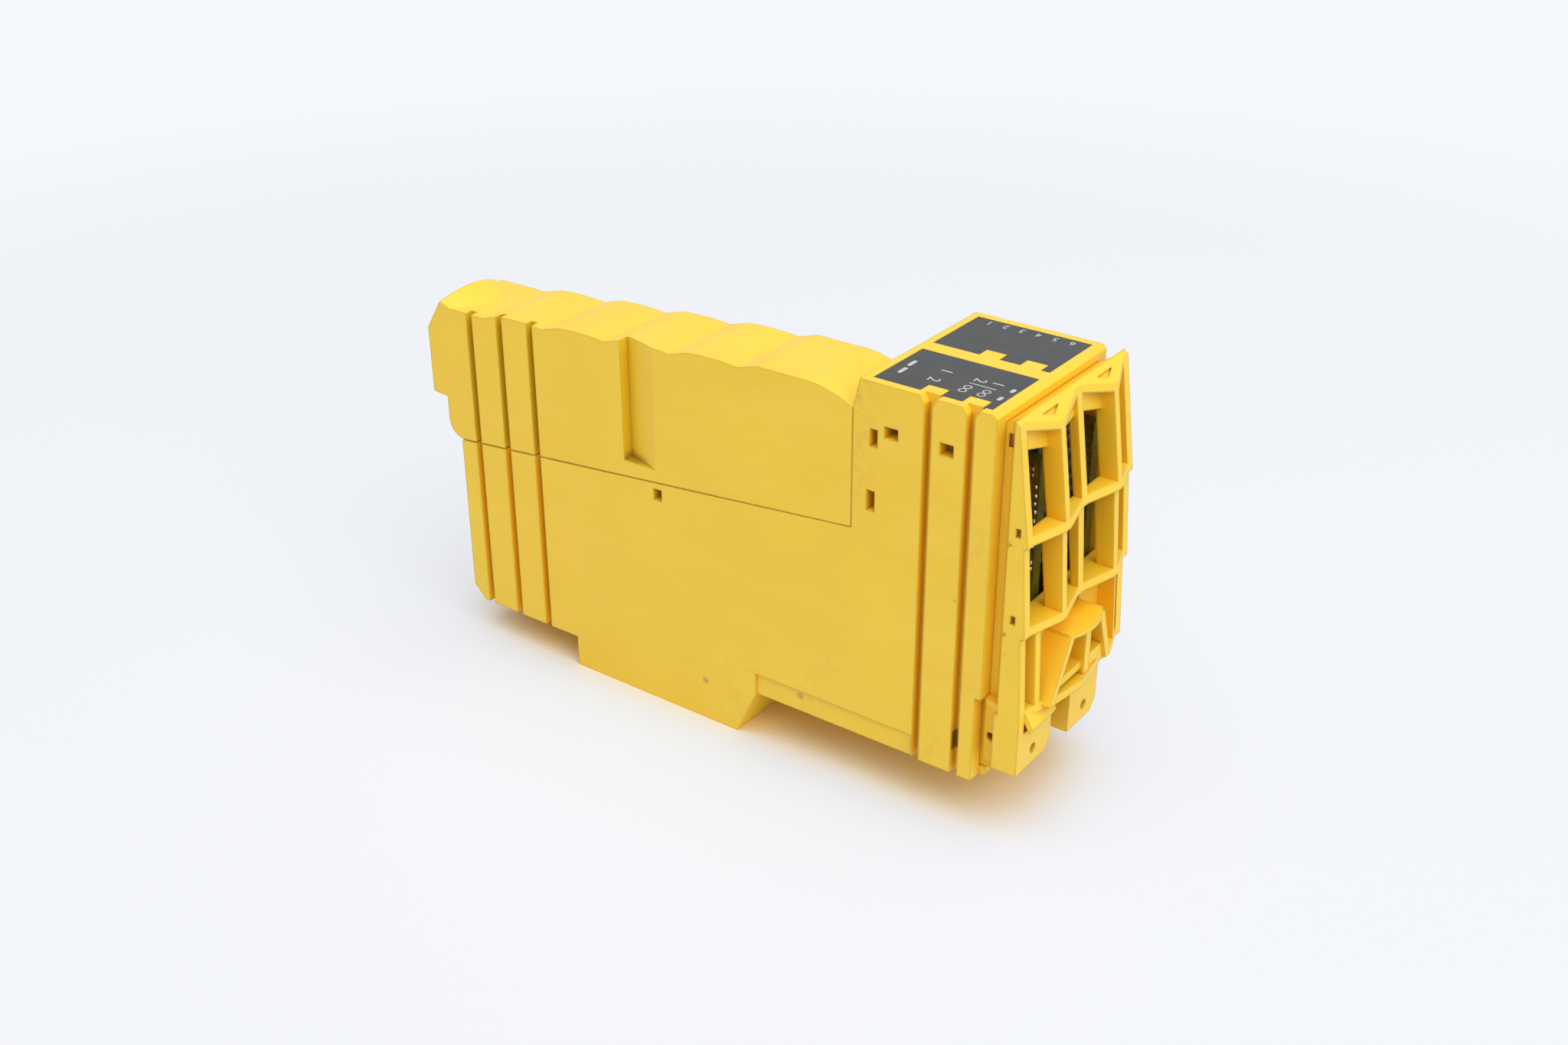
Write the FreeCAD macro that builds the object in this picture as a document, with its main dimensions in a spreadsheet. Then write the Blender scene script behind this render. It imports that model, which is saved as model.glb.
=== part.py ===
import FreeCAD, Part
import Sketcher
import math
import os
import re

from FreeCAD import Vector

# Safe digital I/O module, two slots wide, standing on its rear foot with the label face up.
# Every piece is drawn from the corner of the module's box: x runs from the hook end of the cover
# to the ventilation end, y from the near side to the far side, z from the foot to the labels.
# The placement of each piece then moves that corner so that the origin is under the box's middle.

doc = FreeCAD.newDocument("SafeIoModule")
sheet = doc.addObject("Spreadsheet::Sheet", "Sizes")

# Driving sizes in millimetres
driving_sizes = [
    # whole module
    ("unit_width", 12.5, "width of one slot"),
    ("front_height", 53.8, "label face above the foot"),
    ("cover_reach", 4.6, "cover past the low end of the housing"),
    ("deck_length", 63.4, "terminal deck along the module"),
    ("block_length", 18.3, "label block along the module"),
    ("neck_length", 2.2, "groove between label block and lattice"),
    ("roof_reach", 5.5, "furthest edge of the lattice past its crest"),
    # housing
    ("wall", 1.2, "end walls, deck and floor"),
    ("side_wall", 2.0, "ribbed side walls"),
    ("top_wall", 1.4, "wall under the label plates"),
    ("foot_drop", 6.6, "housing floor above the foot"),
    ("low_end_drop", 4.4, "low end of the housing above the foot"),
    ("corner_cut", 1.9, "chamfer at the low end"),
    ("foot_start", 19.1, "foot from the low end of the housing"),
    ("foot_length", 27.3, "flat of the foot"),
    ("foot_ramp", 3.0, "slope at the end of the foot"),
    ("deck_low", 28.6, "deck height at the hook end"),
    ("deck_high", 34.9, "deck height at the label block"),
    ("block_lean", 0.8, "set-back of the label block's upper edge"),
    ("block_lean_height", 3.8, "height of that set-back"),
    ("edge_cut", 0.5, "chamfer at the label block's far end"),
    ("ledge_height", 3.1, "thin strip along the lower edge of a side"),
    ("ledge_depth", 0.35, "depth of that strip"),
    ("ledge_end", 9.2, "strip's end from the start of the label block"),
    # grooves that guide the neighbouring module
    ("groove_width", 1.0, "side groove"),
    ("groove_depth", 1.2, "side groove"),
    ("groove_pitch", 5.35, "side groove to side groove"),
    ("flare_width", 0.6, "flared mouth of a groove in the label block, each side"),
    ("flare_height", 0.9, "flared mouth of a groove in the label block"),
    ("low_groove", 3.2, "first groove from the low end of the housing"),
    ("block_groove", 9.75, "first groove from the start of the label block"),
    # labels and light ports
    ("label_length", 15.2, "label plate"),
    ("label_width", 10.2, "label plate"),
    ("label_thick", 0.5, "label plate"),
    ("label_margin", 1.3, "label plate to the end of the label block"),
    ("label_side", 1.2, "label plate to the side of its slot"),
    ("label_gap", 0.05, "play round a label plate"),
    ("tab_width", 2.65, "cut-out in a label's long edge"),
    ("tab_depth", 1.75, "cut-out in a label's long edge"),
    ("tab_start", 1.1, "first cut-out from the label's end"),
    ("tab_pitch", 5.3, "cut-out to cut-out"),
    ("port_radius", 0.8, "light port under a label"),
    ("port_start", 3.1, "first light port from the label's start"),
    ("port_pitch", 4.5, "light port to light port along the label"),
    ("port_side", 4.3, "first row of ports from the label's long edge"),
    ("port_row", 3.2, "row of ports to row of ports"),
    ("guide_gap", 0.15, "play round a light guide"),
    ("guide_thick", 2.0, "plate of a light guide"),
    ("guide_inset", 1.2, "light guide plate from the label block's wall"),
    ("guide_arm", 1.0, "snap arm of a light guide"),
    ("hook_depth", 1.5, "snap hook short of the side face"),
    # hinge hook of each slot
    ("hook_setback", 0.3, "hinge bar from the low end of the housing"),
    ("hook_rise", 2.6, "hinge bar above the deck"),
    ("hook_bar", 1.1, "radius of the hinge bar"),
    ("hook_play", 0.06, "running play on the hinge bar"),
    ("ear_inset", 2.6, "ear of the hinge bar from the slot's side"),
    ("ear_thick", 1.0, "ear of the hinge bar"),
    ("ear_half", 1.6, "half length of an ear"),
    ("clip_gap", 0.25, "cover hook to the ears"),
    ("clip_ring", 2.1, "outside of the cover hook round the bar"),
    # cover
    ("seam", 0.1, "gap round the cover"),
    ("cover_clear", 0.45, "cover's inner side to the middle of the module"),
    ("cover_wall", 1.1, "top, ends and inner side of the cover"),
    ("cover_end_drop", 3.8, "cover's high end below the label face"),
    ("cover_top_drop", 2.1, "first step of the cover below the label face"),
    ("brow_length", 7.8, "rounded end of the cover's top"),
    ("brow_radius", 14.0, "rounded end of the cover's top"),
    ("first_step", 5.5, "first step behind the rounded end"),
    ("step_pitch", 10.35, "step to step along the cover"),
    ("step_rise", 0.85, "height of a step"),
    ("ramp_length", 2.8, "slope between two steps"),
    ("scallop_radius", 40.0, "crown of a step"),
    ("nose_length", 2.2, "chamfer at the hook end of the cover"),
    ("nose_height", 3.5, "chamfer at the hook end of the cover"),
    ("nose_drop", 6.4, "top of the hook end below the label face"),
    ("heel_rise", 6.1, "underside of the hook end above the deck"),
    ("heel_length", 2.5, "underside of the hook end"),
    ("grip_start", 2.0, "thumb grip from the hook end of the cover"),
    ("grip_length", 6.5, "thumb grip along the cover"),
    ("grip_near", 0.9, "start of the thumb grip above the cover at its near edge"),
    ("grip_far", -0.5, "start of the thumb grip above the cover at its inner edge"),
    ("grip_radius", 10.2, "crown of the thumb grip"),
    ("grip_slope", 0.4, "fall of the thumb grip along the cover"),
    ("slot_start", 33.6, "tapered slot in the cover's side"),
    ("slot_length", 5.1, "tapered slot in the cover's side"),
    ("slot_depth", 1.5, "tapered slot in the cover's side"),
    ("slot_floor", 20.0, "foot of the tapered slot below the label face"),
    # ventilation lattice
    ("fit_gap", 0.1, "lattice spigot in the housing"),
    ("spigot_depth", 2.0, "lattice spigot in the housing"),
    ("spigot_wall", 1.0, "lattice spigot"),
    ("lattice_wall", 1.3, "side and middle walls of the lattice"),
    ("bar_offset", 6.3, "bar from the side of its slot"),
    ("bar_thick", 1.1, "bar"),
    ("bar_lead", 1.3, "bars in front of the walls"),
    ("shelf_thick", 1.15, "shelf between two rows"),
    ("upper_shelf", 14.6, "underside of the upper shelf below the label face"),
    ("middle_shelf", 25.9, "underside of the middle shelf"),
    ("lower_shelf", 36.8, "underside of the lower shelf"),
    ("lean_top", 0.5, "front of the top row past the crest, at the hood"),
    ("lean_upper", 2.5, "front of the top row at its shelf"),
    ("lean_second", 2.0, "front of the second row at its top"),
    ("lean_middle", 2.85, "front of the second row at its shelf"),
    ("lean_third", 2.3, "front of the third row at its top"),
    ("lean_lower", 2.9, "front of the third row at its shelf"),
    ("hood_angle", 40.0, "slope of the hood in degrees"),
    ("lip_drop", 5.05, "foot of the louvre under the hood, below the label face"),
    ("lip_start", 0.8, "foot of that louvre past the crest"),
    ("lip_top", 0.35, "head of that louvre past the crest"),
    ("lip_rise", 2.3, "height of that louvre"),
    ("lip_slant", 1.35, "rise of that louvre's foot from a bar to a wall"),
    ("back_upper", 1.35, "back of the top row past the crest, at its shelf"),
    ("back_second", 0.6, "back of the second row at its top"),
    ("back_middle", 1.75, "back of the second row at its shelf"),
    ("rim_drop", 0.9, "plate of the hood, measured downwards"),
    ("dent_start", 0.95, "dent from the crest, along the hood's slope"),
    ("dent_run", 0.75, "dent along the hood's slope"),
    ("dent_half", 1.8, "half length of a dent along the crest"),
    ("dent_depth", 0.3, "dent in the hood"),
    ("bevel_rise", 0.9, "slope of the top groove"),
    ("slit_width", 1.5, "outer slit of the third row"),
    ("slit_bar", 0.9, "bar beside the outer slit"),
    ("panel_thick", 1.2, "panel behind the brace"),
    ("roof_lead", 4.5, "brace roof before the middle wall"),
    ("roof_width", 8.2, "brace roof"),
    ("roof_round", 8.2, "radius of the roof's front edge"),
    ("roof_drop", 2.65, "top of the roof below the middle shelf"),
    ("roof_thick", 0.6, "brace roof"),
    ("brace_foot", 4.1, "spread of the near brace at its foot"),
    ("brace_foot_far", 2.6, "spread of the far brace at its foot"),
    ("brace_thick", 1.1, "brace"),
    ("brace_set", 0.85, "brace behind the roof's edge"),
    ("sill_rise", 1.8, "sill of the brace windows above the lower shelf"),
    ("vent_rise", 0.7, "low window above the lower shelf"),
    ("notch_half", 0.8, "half height of a notch in the flared flank"),
    ("notch_depth", 0.6, "notch in the flared flank"),
    ("lug_width", 8.0, "near lug across the module"),
    ("lug_width_far", 7.0, "far lug across the module"),
    ("lug_step", 0.6, "far lug below the near one"),
    ("lug_cut", 1.3, "chamfer at a lug's lower edge"),
    ("lug_drop", 44.2, "underside of the lugs below the label face"),
    ("lug_back", 0.4, "lug behind the crest"),
    ("lug_web", 1.2, "wall behind the gap over a lug"),
    ("lug_front", 2.9, "lug in front of the crest"),
    ("lug_head", 38.9, "top of a lug below the label face"),
    ("finger_end", 7.0, "finger tab from the side face"),
    ("finger_drop", 1.2, "finger tab over the near lug"),
    ("finger_reach", 1.1, "finger tab over the near lug"),
    ("finger_thick", 0.7, "finger tab over the near lug"),
    ("root_set", 1.0, "root of the near lug behind the side face"),
    ("rebate", 0.8, "housing end cut back beside that root"),
    ("root_hole", 0.6, "radius of the hole in that root"),
    ("root_hole_along", 1.2, "hole in that root from the housing's end"),
    ("root_hole_rise", 3.6, "hole in that root above the lug's underside"),
    ("lug_hole", 0.65, "radius of the hole in a lug"),
    ("lug_hole_depth", 2.0, "hole in a lug"),
    ("lug_hole_rise", 2.0, "hole above the underside of its lug"),
    ("lug_hole_side", 3.8, "hole from the side of its slot"),
    ("flank_foot", 35.7, "foot of the flared flank below the label face"),
    ("flank_head", 1.2, "top of the flared flank below the label face"),
    ("eye_width", 0.6, "small window in the lattice's side wall"),
    ("eye_height", 1.1, "small window in the lattice's side wall"),
    ("eye_offset", 0.9, "small window past the crest"),
    ("eye_upper", 12.4, "upper small window below the label face"),
    ("eye_lower", 23.3, "lower small window below the label face"),
    ("contact_height", 1.6, "earth window in the neck"),
    ("contact_drop", 2.6, "earth window below the label face"),
    ("contact_set", 2.3, "earth contact behind the side face"),
    # boards and what is on them
    ("board_thick", 1.6, "circuit board"),
    ("board_play", 0.35, "board to the snap arms of the light guide"),
    ("board_gap", 0.2, "board to the housing"),
    ("board_end_gap", 0.1, "board to the lugs of the lattice"),
    ("board_head", 5.2, "top of a board below the label face"),
    ("processor_size", 10.0, "processor"),
    ("processor_thick", 1.4, "processor"),
    ("processor_start", 58.0, "processor along the module"),
    ("processor_rise", 14.0, "processor above the foot"),
    ("coupler_length", 4.6, "input coupler"),
    ("coupler_height", 6.5, "input coupler"),
    ("coupler_thick", 2.2, "input coupler"),
    ("coupler_pitch", 7.0, "input coupler"),
    ("coupler_start", 10.0, "input coupler along the module"),
    ("coupler_rise", 13.0, "input coupler above the foot"),
    ("driver_length", 6.6, "output switch"),
    ("driver_height", 6.2, "output switch"),
    ("driver_thick", 2.3, "output switch"),
    ("driver_pitch", 9.0, "output switch"),
    ("driver_start", 12.0, "output switch along the module"),
    ("driver_rise", 14.0, "output switch above the foot"),
    ("inductor_length", 12.0, "power inductor"),
    ("inductor_thick", 6.5, "power inductor"),
    ("inductor_start", 24.0, "power inductor along the module"),
    ("inductor_rise", 10.5, "power inductor above the foot"),
    ("inductor_cut", 1.5, "corners of the power inductor"),
    ("can_radius", 3.1, "supply capacitor"),
    ("can_length", 6.0, "supply capacitor"),
    ("can_pitch", 7.4, "supply capacitor"),
    ("can_start", 13.0, "supply capacitor along the module"),
    ("can_rise", 13.5, "supply capacitor above the foot"),
    ("link_length", 3.4, "board link along the module"),
    ("link_height", 16.0, "board link"),
    ("link_end", 1.2, "board link from the board's end"),
    ("link_rise", 31.0, "board link above the foot"),
    ("joint_radius", 0.45, "solder joint"),
    ("joint_pitch", 2.0, "solder joint"),
    ("led_length", 1.6, "status light"),
    ("led_height", 0.8, "status light"),
    ("led_thick", 0.7, "status light"),
    ("led_drop", 1.0, "status light below the board's top"),
    # rear connectors
    ("plug_start", 2.1, "rear connector from the start of the foot"),
    ("plug_length", 22.6, "rear connector"),
    ("plug_side", 3.6, "rear connector from the side of its slot"),
    ("plug_gap", 0.2, "play round a rear connector"),
    ("plug_rise", 0.4, "rear connector above the foot's face"),
    ("flange", 0.7, "flange of a rear connector"),
    ("flange_thick", 1.2, "flange of a rear connector"),
    ("socket_slot", 1.6, "contact slot of a rear connector"),
    ("socket_depth", 4.0, "contact slot of a rear connector"),
    ("pin_size", 0.6, "bus contact"),
    ("pin_pitch", 3.4, "bus contact"),
    ("pin_length", 3.2, "bus contact"),
    # terminal bay of the far slot
    ("socket_start", 5.7, "contact carrier from the hinge bar"),
    ("socket_end", 1.6, "contact carrier from the label block"),
    ("socket_side", 0.8, "contact carrier from the side of its slot"),
    ("socket_height", 5.6, "contact carrier"),
    ("cell_length", 6.6, "contact cell"),
    ("cell_width", 3.6, "contact cell"),
    ("cell_depth", 4.4, "contact cell"),
    ("cell_pitch", 9.2, "contact cell along the deck"),
    ("cell_first", 6.6, "first contact cell from the label block"),
    ("cell_row", 5.2, "row of cells to row of cells"),
    ("cell_side", 3.6, "first row of cells from the slot's side"),
    ("blade_length", 2.6, "knife contact"),
    ("blade_thick", 0.8, "knife contact"),
    ("blade_play", 0.1, "play round a knife contact"),
    ("blade_up", 4.2, "knife contact above the deck"),
    ("blade_down", 3.6, "knife contact below the deck"),
    ("deck_slot", 1.4, "slot in the deck under a row of contacts"),
    # earth strip
    ("strip_width", 1.1, "earth strip"),
    ("strip_thick", 0.4, "earth strip"),
]

# Sizes that follow from the driving ones
derived_sizes = [
    ("width", "2 * unit_width"),
    ("x_body", "cover_reach"),
    ("x_foot", "x_body + foot_start"),
    ("x_foot_end", "x_foot + foot_length"),
    ("x_block", "x_body + deck_length"),
    ("x_neck", "x_block + block_length"),
    ("x_crest", "x_neck + neck_length"),
    ("total_length", "x_crest + roof_reach"),
    ("deck_slope", "(deck_high - deck_low) / deck_length"),
    ("ramp_lean", "foot_ramp / foot_drop"),
    ("ramp_wall", "wall * sqrt(1 + ramp_lean * ramp_lean)"),
    ("x_bar", "x_body + hook_setback"),
    ("z_bar", "deck_low + deck_slope * hook_setback + hook_rise"),
    ("x_cover_end", "x_block - seam"),
    ("x_brow", "x_cover_end - brow_length"),
    ("z_top", "front_height - cover_top_drop"),
    ("z_nose", "front_height - nose_drop"),
    ("z_heel", "deck_low + heel_rise"),
    ("cover_width", "unit_width - cover_clear"),
    ("x_label_end", "x_neck - label_margin"),
    ("x_label", "x_label_end - label_length"),
    ("z_label", "front_height - label_thick"),
    ("z_ceiling", "front_height - top_wall"),
    ("z_floor", "foot_drop + wall"),
    ("z_upper", "front_height - upper_shelf"),
    ("z_middle", "front_height - middle_shelf"),
    ("z_lower", "front_height - lower_shelf"),
    ("z_lip", "front_height - lip_drop"),
    ("z_lug", "front_height - lug_drop"),
    ("z_sill", "z_lower + shelf_thick + sill_rise"),
    ("z_roof", "z_middle - roof_drop"),
    ("roof_start", "unit_width - roof_lead"),
    ("roof_bow", "roof_round - sqrt(roof_round * roof_round - roof_width * roof_width / 4)"),
    ("x_roof", "total_length - roof_bow"),
    ("spigot_side", "side_wall + fit_gap"),
    ("board_side", "unit_width - side_wall - guide_gap - guide_arm - board_play - board_thick"),
    ("board_foot", "z_floor + board_gap"),
    ("x_board_end", "x_crest - lug_back - board_end_gap"),
    ("z_board_head", "front_height - board_head"),
    ("x_plug", "x_foot + plug_start"),
    ("plug_width", "unit_width - side_wall - plug_gap - flange - plug_side"),
    ("x_link", "x_board_end - link_end - link_length"),
    ("x_socket", "x_bar + socket_start"),
    ("x_socket_end", "x_block - socket_end"),
    ("x_strip", "x_neck + (neck_length - strip_width) / 2"),
    ("y_strip", "spigot_side + spigot_wall"),
]

unit_count = 2
low_groove_count = 3
block_groove_count = 2
step_count = 5
port_columns = 3
port_rows = 2
cell_count = 6
cell_rows = 2
pin_count = 6
coupler_count = 2
driver_count = 5
can_count = 3
joint_count = 7

# Snap windows in the sides: start along the module, top below the label face, length, height
snap_windows = {
    "tall": ("x_block", 2.3, 5.7, 1.0, 2.2),
    "square": ("x_block", 4.2, 4.95, 1.8, 1.45),
    "rib": ("x_block", 11.4, 4.9, 1.75, 1.55),
    "low": ("x_block", 2.0, 13.4, 1.1, 2.6),
    "deck": ("x_body", 33.6, 22.6, 1.3, 1.6),
    "groove": ("x_block", 14.95, 42.0, 0.6, 2.2),
}

aliases = set()


def set_cell(alias, content, note):
    row = len(aliases) + 1
    sheet.set("A%d" % row, note)
    sheet.set("B%d" % row, content)
    sheet.setAlias("B%d" % row, alias)
    aliases.add(alias)


for alias, size, note in driving_sizes:
    set_cell(alias, str(size), note)
for window, (start, along, down, length, height) in snap_windows.items():
    for part, size in (("along", along), ("down", down), ("length", length), ("height", height)):
        set_cell("snap_%s_%s" % (window, part), str(size), "snap window")
for alias, formula in derived_sizes:
    set_cell(alias, "=" + formula, "derived")
doc.recompute()


def bound(text):
    return re.sub(r"[a-z_]+", lambda m: "Sizes." + m.group(0) if m.group(0) in aliases else m.group(0), text)


def value(text):
    return float(sheet.evalExpression(bound(text)))


nodes = []


def place(item):
    item.setExpression("Placement.Base.x", bound("-total_length / 2"))
    item.setExpression("Placement.Base.y", bound("-width / 2"))


def new_body(label):
    body = doc.addObject("PartDesign::Body", label)
    body.Label = label
    place(body)
    nodes.append(body)
    return body


# Which way each base plane's normal points along its own axis
normal_sign = {"XY_Plane": 1, "XZ_Plane": -1, "YZ_Plane": 1}


def rectangle(low_a, low_b, high_a, high_b):
    return [(low_a, low_b), (high_a, low_b), (high_a, high_b), (low_a, high_b)]


def circle(centre_a, centre_b, radius):
    return {"centre": (centre_a, centre_b), "radius": radius}


def outward_arc(start, end, radius):
    chord = end - start
    middle = (start + end) * 0.5
    rise = math.sqrt(max(radius * radius - chord.Length ** 2 / 4, 0))
    centre = middle + Vector(-chord.y, chord.x, 0).normalize() * rise
    first = math.atan2(start.y - centre.y, start.x - centre.x)
    last = math.atan2(end.y - centre.y, end.x - centre.x)
    return Part.ArcOfCircle(Part.Circle(centre, Vector(0, 0, 1), radius), first, last)


def pin_point(sketch, geometry, position, spot, corner):
    for kind, number, text in (("DistanceX", spot.x, corner[0]), ("DistanceY", spot.y, corner[1])):
        constraint = Sketcher.Constraint(kind, -1, 1, geometry, position, number)
        index = sketch.addConstraint(constraint)
        sketch.setExpression("Constraints[%d]" % index, bound(text))


def set_radius(sketch, geometry, text):
    index = sketch.addConstraint(Sketcher.Constraint("Radius", geometry, value(text)))
    sketch.setExpression("Constraints[%d]" % index, bound(text))


def draw_circle(sketch, loop):
    spot = Vector(value(loop["centre"][0]), value(loop["centre"][1]), 0)
    geometry = sketch.addGeometry(Part.Circle(spot, Vector(0, 0, 1), value(loop["radius"])))
    pin_point(sketch, geometry, 3, spot, loop["centre"])
    set_radius(sketch, geometry, loop["radius"])


def draw_loop(sketch, loop):
    # A corner is (a, b), or (a, b, radius) where an arc bulging outwards leads to the next corner.
    first = sketch.GeometryCount
    count = len(loop)
    spots = [Vector(value(corner[0]), value(corner[1]), 0) for corner in loop]
    for i, corner in enumerate(loop):
        following = spots[(i + 1) % count]
        if len(corner) == 3:
            sketch.addGeometry(outward_arc(spots[i], following, value(corner[2])))
        else:
            sketch.addGeometry(Part.LineSegment(spots[i], following))
    for i in range(count):
        joined = Sketcher.Constraint("Coincident", first + i, 2, first + (i + 1) % count, 1)
        sketch.addConstraint(joined)
    for i, corner in enumerate(loop):
        pin_point(sketch, first + i, 1, spots[i], corner)
        if len(corner) == 3:
            set_radius(sketch, first + i, corner[2])


def draw(body, name, role, start, loops):
    plane = next(item for item in body.Origin.OriginFeatures if item.Role == role)
    sketch = body.newObject("Sketcher::SketchObject", name + "_sketch")
    sketch.AttachmentSupport = (plane, [""])
    sketch.MapMode = "FlatFace"
    sign = "" if normal_sign[role] > 0 else "-"
    sketch.setExpression("AttachmentOffset.Base.z", bound("%s(%s)" % (sign, start)))
    for loop in loops:
        if isinstance(loop, dict):
            draw_circle(sketch, loop)
        else:
            draw_loop(sketch, loop)
    return sketch


def feature(body, kind, name, role, start, length, loops):
    profile = draw(body, name, role, start, loops)
    item = body.newObject(kind, name)
    item.Profile = profile
    item.setExpression("Length", bound(length))
    item.Reversed = (normal_sign[role] > 0) == (kind == "PartDesign::Pocket")
    profile.Visibility = False
    return item


def pad(body, name, role, start, length, loops):
    item = feature(body, "PartDesign::Pad", name, role, start, length, loops)
    doc.recompute()
    return item


def pocket(body, name, role, start, length, loops):
    before = body.Shape.Volume
    item = feature(body, "PartDesign::Pocket", name, role, start, length, loops)
    doc.recompute()
    if body.Shape.Volume > before - 1e-6:
        raise RuntimeError("nothing was cut by " + name)
    return item


def box(name, x, y, z, length, depth, height):
    item = doc.addObject("Part::Box", name)
    for axis, text in (("x", x), ("y", y), ("z", z)):
        item.setExpression("Placement.Base." + axis, bound(text))
    for side, text in (("Length", length), ("Width", depth), ("Height", height)):
        item.setExpression(side, bound(text))
    return item


def group(label, members):
    item = doc.addObject("Part::Compound", label)
    item.Label = label
    item.Links = members
    place(item)
    nodes.append(item)
    return item


def deck(x):
    return "deck_low + deck_slope * (%s - x_body)" % x


def slot(unit):
    return "%d * unit_width" % unit


def label_outline(unit, gap):
    near = "%s + label_side + %s" % (slot(unit), gap)
    far = "%s + label_side + label_width - %s" % (slot(unit), gap)
    inner = "%s + tab_depth" % near
    corners = [("x_label + " + gap, near)]
    for tab in reversed(range(block_groove_count)):
        end = "x_label_end - tab_start - %d * tab_pitch" % tab
        start = "%s - tab_width - %s" % (end, gap)
        stop = "%s + %s" % (end, gap)
        corners += [(start, near), (start, inner), (stop, inner), (stop, near)]
    corners += [("x_label_end - " + gap, near), ("x_label_end - " + gap, far), ("x_label + " + gap, far)]
    return corners


def port_centres(unit):
    for row in range(port_rows):
        for column in range(port_columns):
            across = "%s + label_side + port_side + %d * port_row" % (slot(unit), row)
            yield "x_label + port_start + %d * port_pitch" % column, across


def grooves(low, high):
    centres = ["x_body + low_groove + %d * groove_pitch" % i for i in range(low_groove_count)]
    return [
        rectangle(x + " - groove_width / 2", low, x + " + groove_width / 2", high) for x in centres
    ]


def snap_loops():
    loops = []
    for window, (start, *_) in snap_windows.items():
        left = "%s + snap_%s_along" % (start, window)
        top = "front_height - snap_%s_down" % window
        right = "%s + snap_%s_length" % (left, window)
        loops.append(rectangle(left, "%s - snap_%s_height" % (top, window), right, top))
    return loops


# Housing: one moulding with foot, sloping deck, label block and hinge bars
housing = new_body("housing")
pad(housing, "shell", "XZ_Plane", "0", "width", [[
    ("x_body + corner_cut", "low_end_drop"),
    ("x_foot", "low_end_drop"),
    ("x_foot", "0"),
    ("x_foot_end", "0"),
    ("x_foot_end + foot_ramp", "foot_drop"),
    ("x_neck", "foot_drop"),
    ("x_neck", "front_height - edge_cut"),
    ("x_neck - edge_cut", "front_height"),
    ("x_block + block_lean", "front_height"),
    ("x_block", "front_height - block_lean_height"),
    ("x_block", "deck_high"),
    ("x_body", "deck_low"),
    ("x_body", "low_end_drop + corner_cut"),
]])
pocket(housing, "cavity", "XZ_Plane", "side_wall", "width - 2 * side_wall", [[
    ("x_body + wall + corner_cut / 2", "low_end_drop + wall"),
    ("x_foot + wall", "low_end_drop + wall"),
    ("x_foot + wall", "wall"),
    ("x_foot_end + ramp_lean * wall - ramp_wall", "wall"),
    ("x_foot_end + foot_ramp + ramp_lean * wall - ramp_wall", "z_floor"),
    ("x_neck + wall", "z_floor"),
    ("x_neck + wall", "z_ceiling"),
    ("x_block + block_lean + wall", "z_ceiling"),
    ("x_block + wall", "front_height - block_lean_height"),
    ("x_block + wall", "deck_high - wall"),
    ("x_body + wall", "deck_low - wall"),
    ("x_body + wall", "low_end_drop + wall + corner_cut / 2"),
]])
for unit in range(unit_count):
    ear = ("%s + ear_inset" % slot(unit), "%s - ear_inset - ear_thick" % slot(unit + 1))
    for side, start in zip(("first", "second"), ear):
        pad(housing, "ear_%s_%d" % (side, unit), "XZ_Plane", start, "ear_thick", [[
            ("x_body", "deck_low - wall / 2"),
            ("x_bar + ear_half", deck("(x_bar + ear_half)") + " - wall / 2"),
            ("x_bar + ear_half", "z_bar + ear_half / 2"),
            ("x_bar + ear_half / 2", "z_bar + ear_half"),
            ("x_bar - ear_half / 2", "z_bar + ear_half"),
            ("x_bar - ear_half", "z_bar + ear_half / 2"),
            ("x_bar - ear_half", "z_bar - ear_half / 2"),
        ]])
    pad(housing, "bar_%d" % unit, "XZ_Plane", ear[0] + " + ear_thick",
        "unit_width - 2 * ear_inset - 2 * ear_thick", [circle("x_bar", "z_bar", "hook_bar")])
block_grooves = []
for i in range(block_groove_count):
    middle = "x_block + block_groove + %d * groove_pitch" % i
    block_grooves.append([
        (middle + " - groove_width / 2", "foot_drop"),
        (middle + " + groove_width / 2", "foot_drop"),
        (middle + " + groove_width / 2", "front_height - flare_height"),
        (middle + " + groove_width / 2 + flare_width", "front_height"),
        (middle + " - groove_width / 2 - flare_width", "front_height"),
        (middle + " - groove_width / 2", "front_height - flare_height"),
    ])
pocket(housing, "near_grooves", "XZ_Plane", "0", "groove_depth",
       grooves("low_end_drop", "deck_high") + block_grooves)
pocket(housing, "far_grooves", "XZ_Plane", "width - groove_depth", "groove_depth",
       grooves("low_end_drop", "deck_high"))
pocket(housing, "near_windows", "XZ_Plane", "0", "side_wall", snap_loops())
pocket(housing, "far_windows", "XZ_Plane", "width - side_wall", "side_wall", snap_loops())
ledge = [rectangle("x_foot_end + foot_ramp", "foot_drop", "x_block + ledge_end", "foot_drop + ledge_height")]
pocket(housing, "near_ledge", "XZ_Plane", "0", "ledge_depth", ledge)
pocket(housing, "far_ledge", "XZ_Plane", "width - ledge_depth", "ledge_depth", ledge)
pocket(housing, "end_rebate", "XZ_Plane", "0", "side_wall", [
    rectangle("x_neck - rebate", "foot_drop", "x_neck", "front_height - flank_foot"),
])
pocket(housing, "label_seats", "XY_Plane", "z_label", "label_thick",
       [label_outline(unit, "0") for unit in range(unit_count)])
pocket(housing, "light_ports", "XY_Plane", "z_ceiling", "top_wall",
       [circle(x, y, "port_radius") for unit in range(unit_count) for x, y in port_centres(unit)])
pocket(housing, "plug_windows", "XY_Plane", "0", "wall", [
    rectangle("x_plug - plug_gap", "%s + plug_side - plug_gap" % slot(unit),
              "x_plug + plug_length + plug_gap", "%s + plug_side + plug_width + plug_gap" % slot(unit))
    for unit in range(unit_count)
])


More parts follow.
